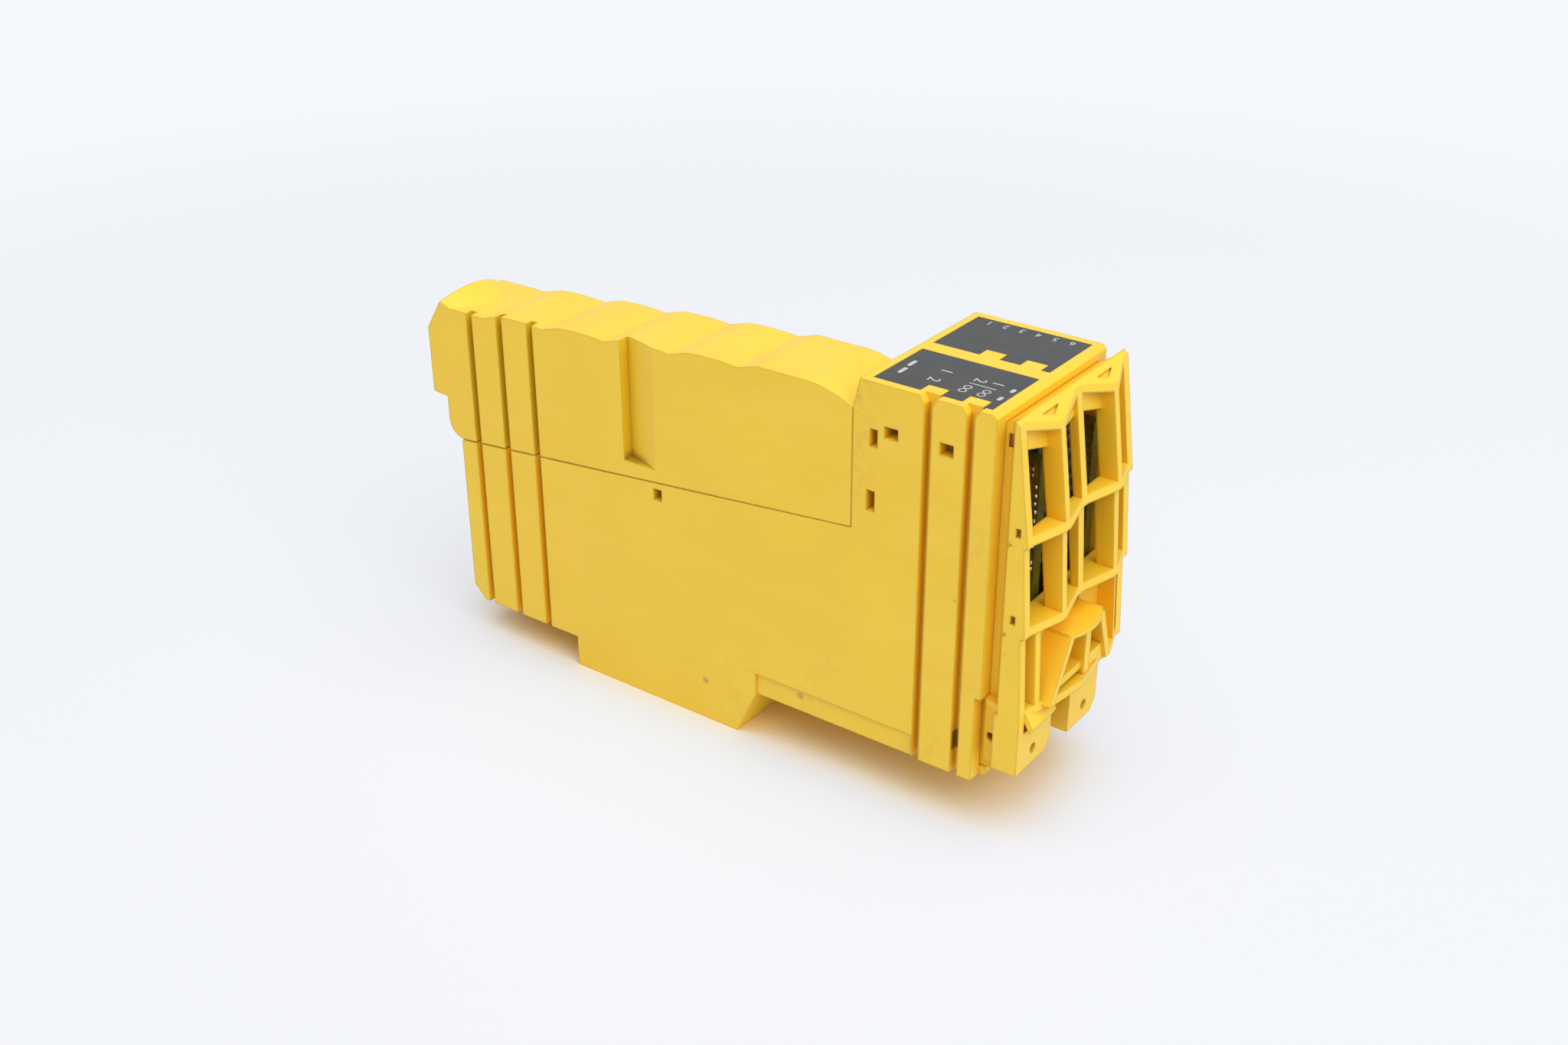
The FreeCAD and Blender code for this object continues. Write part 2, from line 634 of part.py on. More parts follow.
def cell_x(column):
    return "x_block - cell_first - %d * cell_pitch" % column


def cell_y(row):
    return "unit_width + cell_side + %d * cell_row" % row


pocket(housing, "contact_slots", "XY_Plane", "deck_low - wall", "deck_high - deck_low + wall", [
    rectangle(cell_x(cell_count - 1) + " - blade_length", cell_y(row) + " - deck_slot / 2",
              cell_x(0) + " + blade_length", cell_y(row) + " + deck_slot / 2")
    for row in range(cell_rows)
])

# Blind cover: hollow, scalloped along its top, hooked over the near hinge bar
cover = new_body("blind_cover")
top_line = [("x_cover_end", "front_height - cover_end_drop", "brow_radius"), ("x_brow", "z_top")]
for step in range(step_count):
    crest = "x_brow - first_step - %d * step_pitch" % step
    top_line += [
        (crest, "z_top - %d * step_rise" % step),
        (crest + " - ramp_length", "z_top - %d * step_rise" % (step + 1), "scallop_radius"),
    ]
last_valley = "x_brow - first_step - %d * step_pitch - ramp_length" % (step_count - 1)
top_line[-1] = (last_valley, "z_top - %d * step_rise" % step_count)
pad(cover, "cover_block", "XZ_Plane", "0", "cover_width", [
    [("x_bar", "z_bar - hook_rise + 2 * seam"),
     ("x_cover_end", deck("x_cover_end") + " + seam")]
    + top_line
    + [("nose_length", "z_nose"),
       ("0", "z_nose - nose_height"),
       ("0", "z_heel"),
       ("heel_length", "z_heel - 2 * seam"),
       ("x_bar - hook_rise + 2 * seam", "z_bar", "hook_rise - 2 * seam")]
])
grip = pad(cover, "thumb_grip", "YZ_Plane", "grip_start", "grip_length", [[
    ("0", "z_nose - cover_wall"),
    ("cover_width", "z_nose - cover_wall"),
    ("cover_width", "z_nose + grip_far", "grip_radius"),
    ("0", "z_nose + grip_near"),
]])
grip.UseCustomVector = True
grip.Direction = Vector(1, 0, -value("grip_slope"))
grip.setExpression("Direction.z", bound("-grip_slope"))
doc.recompute()
pocket(cover, "nose_face", "XZ_Plane", "0", "cover_width", [[
    ("0", "z_nose - nose_height"),
    ("2 * nose_length", "z_nose + nose_height"),
    ("0", "z_nose + nose_height"),
]])
pocket(cover, "cover_hollow", "XZ_Plane", "side_wall", "cover_width - side_wall - cover_wall", [[
    ("-cover_wall", "deck_low - hook_rise"),
    ("x_cover_end - cover_wall", "deck_low - hook_rise"),
    ("x_cover_end - cover_wall", "front_height - cover_end_drop - cover_wall"),
    ("x_brow", "z_top - cover_wall"),
    ("x_brow - first_step", "z_top - cover_wall"),
    (last_valley, "z_top - %d * step_rise - cover_wall" % step_count),
    ("nose_length + cover_wall / 2", "z_nose - cover_wall"),
    ("cover_wall", "z_nose - nose_height"),
    ("cover_wall", "z_heel"),
    ("-cover_wall", "z_heel"),
]])
clip_start = "ear_inset + ear_thick + clip_gap"
clip_length = "unit_width - 2 * (%s)" % clip_start
pad(cover, "cover_hook", "XZ_Plane", clip_start, clip_length, [[
    ("x_bar - clip_ring / 3", "z_bar - clip_ring"),
    ("x_bar + clip_ring / 3", "z_bar - clip_ring"),
    ("x_bar + clip_ring", "z_bar - clip_ring / 3"),
    ("x_bar + clip_ring", "z_bar + clip_ring"),
    ("cover_wall / 2", "z_heel + hook_rise + clip_ring"),
    ("cover_wall / 2", "z_heel"),
    ("heel_length", "z_heel - 2 * seam"),
    ("x_bar - clip_ring", "z_bar"),
]])
pocket(cover, "hook_bore", "XZ_Plane", clip_start, clip_length,
       [circle("x_bar", "z_bar", "hook_bar + hook_play")])
pocket(cover, "hook_mouth", "XZ_Plane", clip_start, clip_length,
       [rectangle("x_bar", "z_bar - 0.8 * hook_bar", "x_bar + 2 * clip_ring", "z_bar + 0.4 * hook_bar")])
pocket(cover, "cover_grooves", "XZ_Plane", "0", "groove_depth", grooves("deck_low", "front_height"))
pocket(cover, "tapered_slot", "XY_Plane", "front_height - slot_floor", "slot_floor", [[
    ("slot_start", "0"),
    ("slot_start + slot_length", "0"),
    ("slot_start", "slot_depth"),
]])

# Ventilation lattice: a zigzag, leaning shell with cells, hood, brace and lugs
lattice = new_body("vent_lattice")


def front_profile(lead):
    return [
        ("x_crest", "z_lower"),
        ("x_crest + lean_lower" + lead, "z_lower"),
        ("x_crest + lean_third" + lead, "z_middle"),
        ("x_crest + lean_middle" + lead, "z_middle"),
        ("x_crest + lean_second" + lead, "z_upper"),
        ("x_crest + lean_upper" + lead, "z_upper"),
        ("x_crest + lean_top" + lead, "front_height"),
        ("x_crest", "front_height"),
    ]


def hood(run):
    return "front_height - %s * tan(hood_angle * 1deg)" % run


bar_starts = ["%s + bar_offset" % slot(unit) for unit in range(unit_count)]
stations = [
    ("0", ""), ("lattice_wall", ""),
    (bar_starts[0], " + bar_lead"), (bar_starts[0] + " + bar_thick", " + bar_lead"),
    ("unit_width", ""), ("unit_width + lattice_wall", ""),
    (bar_starts[1], " + bar_lead"), (bar_starts[1] + " + bar_thick", " + bar_lead"),
    ("width - lattice_wall", ""), ("width", ""),
]
sections = [
    draw(lattice, "station_%d" % i, "XZ_Plane", y, [front_profile(lead)])
    for i, (y, lead) in enumerate(stations)
]
envelope = lattice.newObject("PartDesign::AdditiveLoft", "zigzag_front")
envelope.Profile = sections[0]
envelope.Sections = sections[1:]
envelope.Ruled = True
doc.recompute()
pocket(lattice, "hood_slope", "XZ_Plane", "0", "width", [[
    ("x_crest", "front_height"),
    ("total_length", hood("roof_reach")),
    ("total_length", "front_height"),
]])
columns = [
    ("lattice_wall", bar_starts[0]),
    (bar_starts[0] + " + bar_thick", "unit_width"),
    ("unit_width + lattice_wall", bar_starts[1]),
    (bar_starts[1] + " + bar_thick", "width - lattice_wall"),
]
top_cells = []
for i, (left, right) in enumerate(columns):
    heads = ["z_lip", "z_lip + lip_slant"]
    top_cells.append([
        (left, "z_upper + shelf_thick"), (right, "z_upper + shelf_thick"),
        (right, heads[i % 2]), (left, heads[1 - i % 2]),
    ])
pocket(lattice, "cells", "YZ_Plane", "x_crest", "roof_reach", top_cells + [
    rectangle(left, "z_middle + shelf_thick", right, "z_upper") for left, right in columns
])
for i, (left, right) in enumerate(columns):
    pocket(lattice, "lip_%d" % i, "XZ_Plane", left, "%s - (%s)" % (right, left), [[
        ("x_crest + lip_start", "z_lip"),
        ("x_crest + (lip_drop - rim_drop) / tan(hood_angle * 1deg)", "z_lip"),
        ("x_crest + lip_top", hood("lip_top") + " - rim_drop"),
        ("x_crest + lip_top", "z_lip + lip_rise"),
    ]])

for i, start in enumerate(bar_starts):
    # A triangle drawn on the hood's slope: its base runs along the crest and its tip points at the bar.
    triangle = draw(lattice, "dent_%d" % i, "XY_Plane", "front_height", [[
        ("dent_start", start + " - dent_half"),
        ("dent_start + dent_run", start),
        ("dent_start", start + " + dent_half"),
    ]])
    tilt = FreeCAD.Rotation(Vector(0, 1, 0), value("hood_angle"))
    triangle.AttachmentOffset = FreeCAD.Placement(triangle.AttachmentOffset.Base, tilt)
    triangle.setExpression("AttachmentOffset.Base.x", bound("x_crest"))
    triangle.setExpression("AttachmentOffset.Rotation.Angle", bound("hood_angle * 1deg"))
    dent = lattice.newObject("PartDesign::Pocket", "dent_%d" % i)
    dent.Profile = triangle
    dent.setExpression("Length", bound("dent_depth"))
    triangle.Visibility = False
    doc.recompute()
# The back of the cells leans as their front does.
pocket(lattice, "cell_backs", "XZ_Plane", "lattice_wall", "width - 2 * lattice_wall", [[
    ("x_crest", "z_lip"),
    ("x_crest", "z_middle + shelf_thick"),
    ("x_crest + back_middle", "z_middle + shelf_thick"),
    ("x_crest + back_second", "z_upper"),
    ("x_crest + back_upper", "z_upper"),
]])
slit_edges = ["lattice_wall + slit_width", "width - lattice_wall - slit_width"]
pocket(lattice, "slits", "YZ_Plane", "x_crest", "roof_reach", [
    rectangle("lattice_wall", "z_lower + shelf_thick", slit_edges[0], "z_middle"),
    rectangle(slit_edges[1], "z_lower + shelf_thick", "width - lattice_wall", "z_middle"),
])
pocket(lattice, "brace_recess", "YZ_Plane", "x_crest + panel_thick", "roof_reach", [
    rectangle(slit_edges[0] + " + slit_bar", "z_lower + shelf_thick",
              slit_edges[1] + " - slit_bar", "z_middle"),
])
brace_depth = "roof_reach - brace_set - panel_thick / 2"
roof_end = "roof_start + roof_width"
z_base = "z_lower + shelf_thick / 2"
near_foot = "roof_start - brace_foot"
far_foot = "%s + brace_foot_far" % roof_end
pad(lattice, "braces", "YZ_Plane", "x_crest + panel_thick / 2", brace_depth, [
    [(near_foot, z_base), (near_foot + " + brace_thick", z_base),
     ("roof_start + brace_thick", "z_roof - roof_thick / 2"), ("roof_start", "z_roof - roof_thick / 2")],
    [(far_foot + " - brace_thick", z_base), (far_foot, z_base),
     (roof_end, "z_roof - roof_thick / 2"), (roof_end + " - brace_thick", "z_roof - roof_thick / 2")],
])
pad(lattice, "brace_roof", "XY_Plane", "z_roof - roof_thick", "roof_thick", [[
    ("x_crest + panel_thick / 2", "roof_start"),
    ("x_roof", "roof_start", "roof_round"),
    ("x_roof", roof_end),
    ("x_crest + panel_thick / 2", roof_end),
]])
pad(lattice, "brace_sill", "YZ_Plane", "x_crest + panel_thick / 2", brace_depth + " - brace_set / 2", [
    rectangle(near_foot + " + brace_foot / 2", "z_sill - shelf_thick", "unit_width", "z_sill"),
    rectangle("unit_width", "z_lower + shelf_thick / 2", far_foot + " - brace_foot_far / 2", "z_sill"),
])
pad(lattice, "brace_floor", "XY_Plane", "z_lower", "shelf_thick", [[
    ("x_crest + panel_thick / 2", near_foot),
    ("x_crest + lean_lower + bar_lead", near_foot + " + brace_thick"),
    ("total_length - brace_set / 2", "unit_width - lattice_wall"),
    ("total_length - brace_set", "unit_width + lattice_wall"),
    ("total_length - 2 * brace_set", far_foot),
    ("x_crest + panel_thick / 2", far_foot),
]])
pad(lattice, "brace_post", "YZ_Plane", "x_crest + panel_thick / 2", brace_depth, [
    rectangle("unit_width - lattice_wall / 2", z_base,
              "unit_width + lattice_wall / 2", "z_roof - roof_thick / 2"),
])
pocket(lattice, "brace_windows", "YZ_Plane", "x_crest", "panel_thick", [
    [("roof_start", "z_sill"), ("unit_width - lattice_wall / 2", "z_sill"),
     ("unit_width - lattice_wall / 2", "z_roof - roof_thick"),
     ("roof_start + 2 * brace_thick", "z_roof - roof_thick")],
    [("unit_width + lattice_wall / 2", "z_sill"), (roof_end, "z_sill"),
     (roof_end + " - brace_thick", "z_roof - roof_thick"),
     ("unit_width + lattice_wall / 2", "z_roof - roof_thick")],
])
pocket(lattice, "low_vent", "YZ_Plane", "x_crest", "panel_thick", [
    rectangle("roof_start - brace_thick", "z_lower + shelf_thick", "unit_width - lattice_wall / 2",
              "z_lower + shelf_thick + vent_rise"),
])
pocket(lattice, "roof_vent", "YZ_Plane", "x_crest", "panel_thick", [
    rectangle("unit_width + lattice_wall", "z_roof", roof_end, "z_roof + vent_rise"),
])
pad(lattice, "spigot", "XZ_Plane", "spigot_side", "width - 2 * spigot_side", [
    rectangle("x_neck - spigot_depth", "z_floor + fit_gap", "x_crest", "z_ceiling - fit_gap"),
])
pocket(lattice, "spigot_bore", "XZ_Plane", "spigot_side + spigot_wall",
       "width - 2 * spigot_side - 2 * spigot_wall", [
           rectangle("x_neck - spigot_depth", "z_floor + fit_gap + spigot_wall",
                     "x_crest", "z_ceiling - fit_gap - spigot_wall"),
       ])
pad(lattice, "top_bevel", "XZ_Plane", "spigot_side", "width - 2 * spigot_side", [[
    ("x_neck + fit_gap", "z_ceiling - fit_gap"),
    ("x_crest", "z_ceiling - fit_gap"),
    ("x_crest", "front_height"),
    ("x_crest - neck_length / 4", "front_height - edge_cut"),
]])
pad(lattice, "flanks", "XY_Plane", "front_height - flank_foot", "flank_foot - flank_head", [
    [("x_neck + fit_gap + bevel_rise", "spigot_side"), ("x_crest", "0"),
     ("x_crest + edge_cut", "0"), ("x_crest + edge_cut", "lattice_wall"), ("x_crest", "spigot_side")],
    [("x_neck + fit_gap + bevel_rise", "width - spigot_side"), ("x_crest", "width - spigot_side"),
     ("x_crest + edge_cut", "width - lattice_wall"), ("x_crest + edge_cut", "width"),
     ("x_crest", "width")],
])
notches = [
    [("x_crest - edge_cut", z + " - notch_half"), ("x_crest + edge_cut", z),
     ("x_crest - edge_cut", z + " + notch_half")]
    for z in ("z_upper", "z_middle")
]
pocket(lattice, "near_notches", "XZ_Plane", "0", "notch_depth", notches)
pocket(lattice, "far_notches", "XZ_Plane", "width - notch_depth", "notch_depth", notches)


def lug_foot(unit):
    return "(z_lug - %d * lug_step)" % unit


for unit, reach in enumerate(("lug_width", "lug_width_far")):
    end = "%s + %s" % (slot(unit), reach)
    pad(lattice, "lug_%d" % unit, "YZ_Plane", "x_crest - lug_back", "lug_back + lug_front", [[
        (slot(unit), lug_foot(unit)),
        (end + " - lug_cut", lug_foot(unit)),
        (end, lug_foot(unit) + " + lug_cut"),
        (end, "z_lower"),
        (slot(unit), "z_lower"),
    ]])
pocket(lattice, "lug_gap", "XY_Plane", "front_height - lug_head", "lug_head - lower_shelf", [
    rectangle("x_crest + lug_web", "lattice_wall", "x_crest + lug_front", "lug_width"),
])
pad(lattice, "finger_tab", "XZ_Plane", "lattice_wall", "finger_end - lattice_wall", [[
    ("x_crest + lug_web / 2", "z_lower - finger_thick"),
    ("x_crest + lug_front", "z_lower - finger_thick"),
    ("x_crest + lug_front + finger_reach - finger_thick / 2", "z_lower - finger_drop - finger_thick"),
    ("x_crest + lug_front + finger_reach", "z_lower - finger_drop"),
    ("x_crest + lug_front", "z_lower + shelf_thick / 2"),
    ("x_crest + lug_web / 2", "z_lower + shelf_thick / 2"),
]])
pad(lattice, "lug_root", "XY_Plane", "z_lug", "lug_drop - flank_foot", [[
    ("x_neck + fit_gap", "root_set"),
    ("x_crest - lug_back", "root_set / 2"),
    ("x_crest", "root_set / 2"),
    ("x_crest", "spigot_side"),
    ("x_neck + fit_gap", "spigot_side"),
]])
pocket(lattice, "root_bore", "XZ_Plane", "0", "spigot_side", [
    circle("x_neck + root_hole_along", "z_lug + root_hole_rise", "root_hole"),
])
pocket(lattice, "lug_holes", "YZ_Plane", "x_crest + lug_front - lug_hole_depth", "lug_hole_depth", [
    circle(slot(unit) + " + lug_hole_side", lug_foot(unit) + " + lug_hole_rise", "lug_hole")
    for unit in range(unit_count)
])
pocket(lattice, "eyes", "XZ_Plane", "0", "2 * lattice_wall", [
    rectangle("x_crest + eye_offset", "front_height - %s - eye_height" % drop,
              "x_crest + eye_offset + eye_width", "front_height - " + drop)
    for drop in ("eye_upper", "eye_lower")
])
pocket(lattice, "earth_window", "XZ_Plane", "0", "y_strip", [
    rectangle("x_strip - fit_gap", "front_height - contact_drop - contact_height",
              "x_strip + strip_width + fit_gap", "front_height - contact_drop"),
])

# Label plates lie in their seats in the label block
for unit, side in enumerate(("near", "far")):
    plate = new_body("label_plate_" + side)
    pad(plate, "plate_" + side, "XY_Plane", "z_label", "label_thick", [label_outline(unit, "label_gap")])


def light_guide(side, unit, across):
    # across turns a distance from the outer side into a place across the module
    def span(low, high):
        ends = (across(low), across(high))
        return ends if side == "near" else ends[::-1]

    guide = new_body("light_guide_" + side)
    low_y, high_y = span("side_wall + guide_gap", "unit_width - guide_gap")
    z_top = "z_ceiling - guide_gap"
    pad(guide, "guide_plate_" + side, "XY_Plane", z_top + " - guide_thick", "guide_thick", [
        rectangle("x_block + block_lean + wall + guide_inset", low_y,
                  "x_neck - spigot_depth - guide_inset", high_y),
    ])
    pad(guide, "guide_pins_" + side, "XY_Plane", z_top, "top_wall - label_thick", [
        circle(x, y, "port_radius - guide_gap") for x, y in port_centres(unit)
    ])
    for window in ("square", "rib"):
        left = "x_block + snap_%s_along + guide_gap" % window
        right = "x_block + snap_%s_along + snap_%s_length - guide_gap" % (window, window)
        low = "front_height - snap_%s_down - snap_%s_height + guide_gap" % (window, window)
        high = "front_height - snap_%s_down - guide_gap" % window
        arm_low, arm_high = span("side_wall + guide_gap", "side_wall + guide_gap + guide_arm")
        pad(guide, "guide_arm_%s_%s" % (window, side), "XY_Plane", low,
            "%s - guide_thick - (%s)" % (z_top, low), [rectangle(left, arm_low, right, arm_high)])
        hook_low, hook_high = span("hook_depth", "side_wall + guide_gap")
        pad(guide, "guide_hook_%s_%s" % (window, side), "XY_Plane", low, "%s - (%s)" % (high, low),
            [rectangle(left, hook_low, right, hook_high)])


light_guide("near", 0, lambda distance: distance)
light_guide("far", 1, lambda distance: "width - (%s)" % distance)

# Circuit boards stand in each slot, over the rear connectors
for unit, side in enumerate(("near", "far")):
    board = new_body("circuit_board_" + side)
    pad(board, "laminate_" + side, "XZ_Plane", slot(unit) + " + board_side", "board_thick", [[
        ("x_body + wall + board_gap", "board_foot"),
        ("x_neck - spigot_depth - board_gap", "board_foot"),
        ("x_neck - spigot_depth - board_gap", "board_foot + 2 * wall"),
        ("x_board_end", "board_foot + 2 * wall"),
        ("x_board_end", "z_board_head - 2 * wall"),
        ("x_neck - spigot_depth - board_gap", "z_board_head - 2 * wall"),
        ("x_neck - spigot_depth - board_gap", "z_board_head"),
        ("x_block + 2 * wall", "z_board_head"),
        ("x_block + 2 * wall", "deck_high - 4 * wall - blade_down"),
        ("x_body + wall + board_gap", "deck_low - 4 * wall - blade_down"),
    ]])


def board_face(unit):
    return slot(unit) + " + board_side"


for unit, side in enumerate(("near", "far")):
    chip = new_body("processor_" + side)
    pad(chip, "package_" + side, "XZ_Plane", board_face(unit) + " - processor_thick", "processor_thick", [
        [("processor_start + wall", "processor_rise"),
         ("processor_start + processor_size", "processor_rise"),
         ("processor_start + processor_size", "processor_rise + processor_size"),
         ("processor_start", "processor_rise + processor_size"),
         ("processor_start", "processor_rise + wall")],
    ])
    group("status_leds_" + side, [
        box("led_%s_%d" % (side, column),
            "x_label + port_start + %d * port_pitch - led_length / 2" % column,
            board_face(unit) + " - led_thick",
            "z_board_head - led_drop - led_height",
            "led_length", "led_thick", "led_height")
        for column in range(port_columns)
    ])

group("input_couplers", [
    box("coupler_%d" % i, "coupler_start + %d * coupler_pitch" % i, board_face(0) + " - coupler_thick",
        "coupler_rise", "coupler_length", "coupler_thick", "coupler_height")
    for i in range(coupler_count)
])
group("output_drivers", [
    box("driver_%d" % i, "driver_start + %d * driver_pitch" % i, board_face(1) + " + board_thick",
        "driver_rise", "driver_length", "driver_thick / 2", "driver_height")
    for i in range(driver_count)
])
inductor = new_body("power_inductor")
pad(inductor, "core", "XZ_Plane", board_face(1) + " - inductor_thick", "inductor_thick", [[
    ("inductor_start + inductor_cut", "inductor_rise"),
    ("inductor_start + inductor_length - inductor_cut", "inductor_rise"),
    ("inductor_start + inductor_length", "inductor_rise + inductor_cut"),
    ("inductor_start + inductor_length", "inductor_rise + inductor_length - inductor_cut"),
    ("inductor_start + inductor_length - inductor_cut", "inductor_rise + inductor_length"),
    ("inductor_start + inductor_cut", "inductor_rise + inductor_length"),
    ("inductor_start", "inductor_rise + inductor_length - inductor_cut"),
    ("inductor_start", "inductor_rise + inductor_cut"),
]])


def standing_cylinder(name, x, y, z, radius, length):
    # A cylinder whose axis runs across the module, from its foot at y towards the near side
    item = doc.addObject("Part::Cylinder", name)
    item.Placement.Rotation = FreeCAD.Rotation(Vector(1, 0, 0), 90)
    for axis, text in (("x", x), ("y", y), ("z", z)):
        item.setExpression("Placement.Base." + axis, bound(text))
    item.setExpression("Radius", bound(radius))
    item.setExpression("Height", bound(length))
    return item


group("supply_capacitors", [
    standing_cylinder("can_%d" % i, "inductor_start + inductor_length + can_radius + %d * can_pitch" % i,
                      board_face(1), "can_rise", "can_radius", "can_length")
    for i in range(can_count)
])
link = new_body("board_link")
pad(link, "link_block", "XZ_Plane", board_face(0) + " + board_thick", "unit_width - board_thick", [
    rectangle("x_link", "link_rise", "x_link + link_length", "link_rise + link_height"),
])


def solder_joint(name, x, z):
    item = doc.addObject("Part::Cone", name)
    item.Placement.Rotation = FreeCAD.Rotation(Vector(1, 0, 0), 90)
    for axis, text in (("x", x), ("y", board_face(0)), ("z", z)):
        item.setExpression("Placement.Base." + axis, bound(text))
    item.setExpression("Radius1", bound("joint_radius"))
    item.setExpression("Radius2", bound("joint_radius / 2"))
    item.setExpression("Height", bound("joint_radius * 1.6"))
    return item


group("solder_joints", [
    solder_joint("joint_%d" % i, "x_link + link_length / 2", "link_rise + joint_pitch * %d" % (i + 1))
    for i in range(joint_count)
])

# Rear connectors look out of the foot and carry the boards
for unit, side in enumerate(("near", "far")):
    plug = new_body("bus_connector_" + side)
    near = slot(unit) + " + plug_side"
    pad(plug, "plug_block_" + side, "XY_Plane", "plug_rise", "board_foot - plug_rise", [
        rectangle("x_plug", near, "x_plug + plug_length", near + " + plug_width"),
    ])
    pad(plug, "plug_flange_" + side, "XY_Plane", "wall", "flange_thick", [
        rectangle("x_plug", near + " - flange", "x_plug + plug_length", near + " + plug_width + flange"),
    ])
    slots = [near + " + plug_width / 4", near + " + 3 * plug_width / 4"]
    pocket(plug, "plug_slots_" + side, "XY_Plane", "plug_rise", "socket_depth", [
        rectangle("x_plug + socket_slot", y + " - socket_slot / 2",
                  "x_plug + plug_length - socket_slot", y + " + socket_slot / 2")
        for y in slots
    ])
    group("bus_pins_" + side, [
        box("pin_%s_%d_%d" % (side, row, i),
            "x_plug + plug_length / 2 + (%d - %d / 2) * pin_pitch - pin_size / 2" % (i, pin_count - 1),
            y + " - pin_size / 2", "plug_rise + socket_depth - pin_length",
            "pin_size", "pin_size", "pin_length")
        for row, y in enumerate(slots) for i in range(pin_count)
    ])

# Contact carrier and knife contacts of the open terminal bay
carrier = new_body("terminal_socket")
pad(carrier, "carrier_block", "XZ_Plane", "unit_width + socket_side", "unit_width - 2 * socket_side", [[
    ("x_socket", deck("x_socket")),
    ("x_socket_end", deck("x_socket_end")),
    ("x_socket_end", deck("x_socket_end") + " + socket_height"),
    ("x_socket", deck("x_socket") + " + socket_height"),
]])
blades = []
for column in range(cell_count):
    pocket(carrier, "contact_cells_%d" % column, "XY_Plane",
           deck(cell_x(column)) + " + socket_height - cell_depth", "cell_depth + wall", [
               rectangle(cell_x(column) + " - cell_length / 2", cell_y(row) + " - cell_width / 2",
                         cell_x(column) + " + cell_length / 2", cell_y(row) + " + cell_width / 2")
               for row in range(cell_rows)
           ])
    pocket(carrier, "contact_slits_%d" % column, "XY_Plane",
           deck(cell_x(column)) + " - wall", "socket_height", [
               rectangle(cell_x(column) + " - blade_length / 2 - blade_play",
                         cell_y(row) + " - blade_thick / 2 - blade_play",
                         cell_x(column) + " + blade_length / 2 + blade_play",
                         cell_y(row) + " + blade_thick / 2 + blade_play")
               for row in range(cell_rows)
           ])
    for row in range(cell_rows):
        blades.append(box("blade_%d_%d" % (column, row), cell_x(column) + " - blade_length / 2",
                          cell_y(row) + " - blade_thick / 2", deck(cell_x(column)) + " - blade_down",
                          "blade_length", "blade_thick", "blade_up + blade_down"))
group("terminal_blades", blades)

# Earth strip against the inside of the lattice's neck, with a contact in the window
strip = new_body("earth_strip")
strip_end = "x_strip + strip_width"
strip_low = "(z_floor + fit_gap + spigot_wall + board_gap)"
strip_high = "(z_ceiling - fit_gap - spigot_wall - board_gap)"
pad(strip, "strip_blank", "XY_Plane", strip_low, strip_high + " - " + strip_low, [
    rectangle("x_strip", "y_strip", strip_end, "y_strip + strip_thick"),
])
pad(strip, "strip_contact", "XY_Plane", "front_height - contact_drop - contact_height + fit_gap",
    "contact_height - 2 * fit_gap", [[
        ("x_strip", "contact_set"),
        (strip_end, "contact_set"),
        (strip_end, "y_strip + strip_thick / 2"),
        (strip_end + " - strip_thick", "y_strip + strip_thick / 2"),
        (strip_end + " - strip_thick", "contact_set + strip_thick"),
        ("x_strip", "contact_set + strip_thick"),
    ]])

doc.recompute()
faulty = [item.Name for item in doc.Objects if "Invalid" in item.State or "Error" in item.State]
if faulty:
    raise RuntimeError("not built: " + ", ".join(faulty))
for node in nodes:
    if node.Shape.isNull() or not node.Shape.isValid() or not node.Shape.Solids:
        raise RuntimeError("no valid solid in " + node.Label)

os.makedirs("parts", exist_ok=True)
for node in nodes:
    node.Shape.exportStep("parts/%s.step" % node.Label)
    print("%-22s %2d solids %10.2f mm3" % (node.Label, len(node.Shape.Solids), node.Shape.Volume))
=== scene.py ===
import math

import bpy
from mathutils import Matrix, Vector


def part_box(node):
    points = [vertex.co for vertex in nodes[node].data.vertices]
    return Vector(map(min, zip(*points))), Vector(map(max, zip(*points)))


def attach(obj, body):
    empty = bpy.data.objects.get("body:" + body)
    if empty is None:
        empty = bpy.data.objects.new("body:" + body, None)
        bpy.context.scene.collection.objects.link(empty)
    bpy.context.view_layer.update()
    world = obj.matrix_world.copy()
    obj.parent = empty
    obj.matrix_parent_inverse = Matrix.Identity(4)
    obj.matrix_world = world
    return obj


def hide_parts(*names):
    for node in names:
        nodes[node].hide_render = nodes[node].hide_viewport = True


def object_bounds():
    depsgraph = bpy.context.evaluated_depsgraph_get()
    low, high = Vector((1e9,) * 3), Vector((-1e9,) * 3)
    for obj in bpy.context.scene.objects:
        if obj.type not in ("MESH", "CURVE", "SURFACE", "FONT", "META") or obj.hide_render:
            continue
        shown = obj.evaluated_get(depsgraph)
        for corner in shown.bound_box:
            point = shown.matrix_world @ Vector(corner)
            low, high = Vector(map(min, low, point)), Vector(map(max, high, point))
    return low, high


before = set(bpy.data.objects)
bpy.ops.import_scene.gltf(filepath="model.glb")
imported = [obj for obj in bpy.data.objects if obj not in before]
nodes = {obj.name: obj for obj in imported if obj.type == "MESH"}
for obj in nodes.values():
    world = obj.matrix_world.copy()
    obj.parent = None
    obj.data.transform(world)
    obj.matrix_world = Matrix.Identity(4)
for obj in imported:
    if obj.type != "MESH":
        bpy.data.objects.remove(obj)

cadLow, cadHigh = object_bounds()
mm = 0.001
edgeRays = 3  # rays per shading point that round the edges
hollowRays = 6  # and that find the hollows
noiseSpan = (0.3, 0.7)  # most of a noise pattern lies in this span
sharpAngle = math.radians(35)  # steeper edges of new pieces count as sharp
bpy.ops.object.select_all(action="DESELECT")
print("frame: %d nodes" % len(nodes))


# Small helpers for node trees

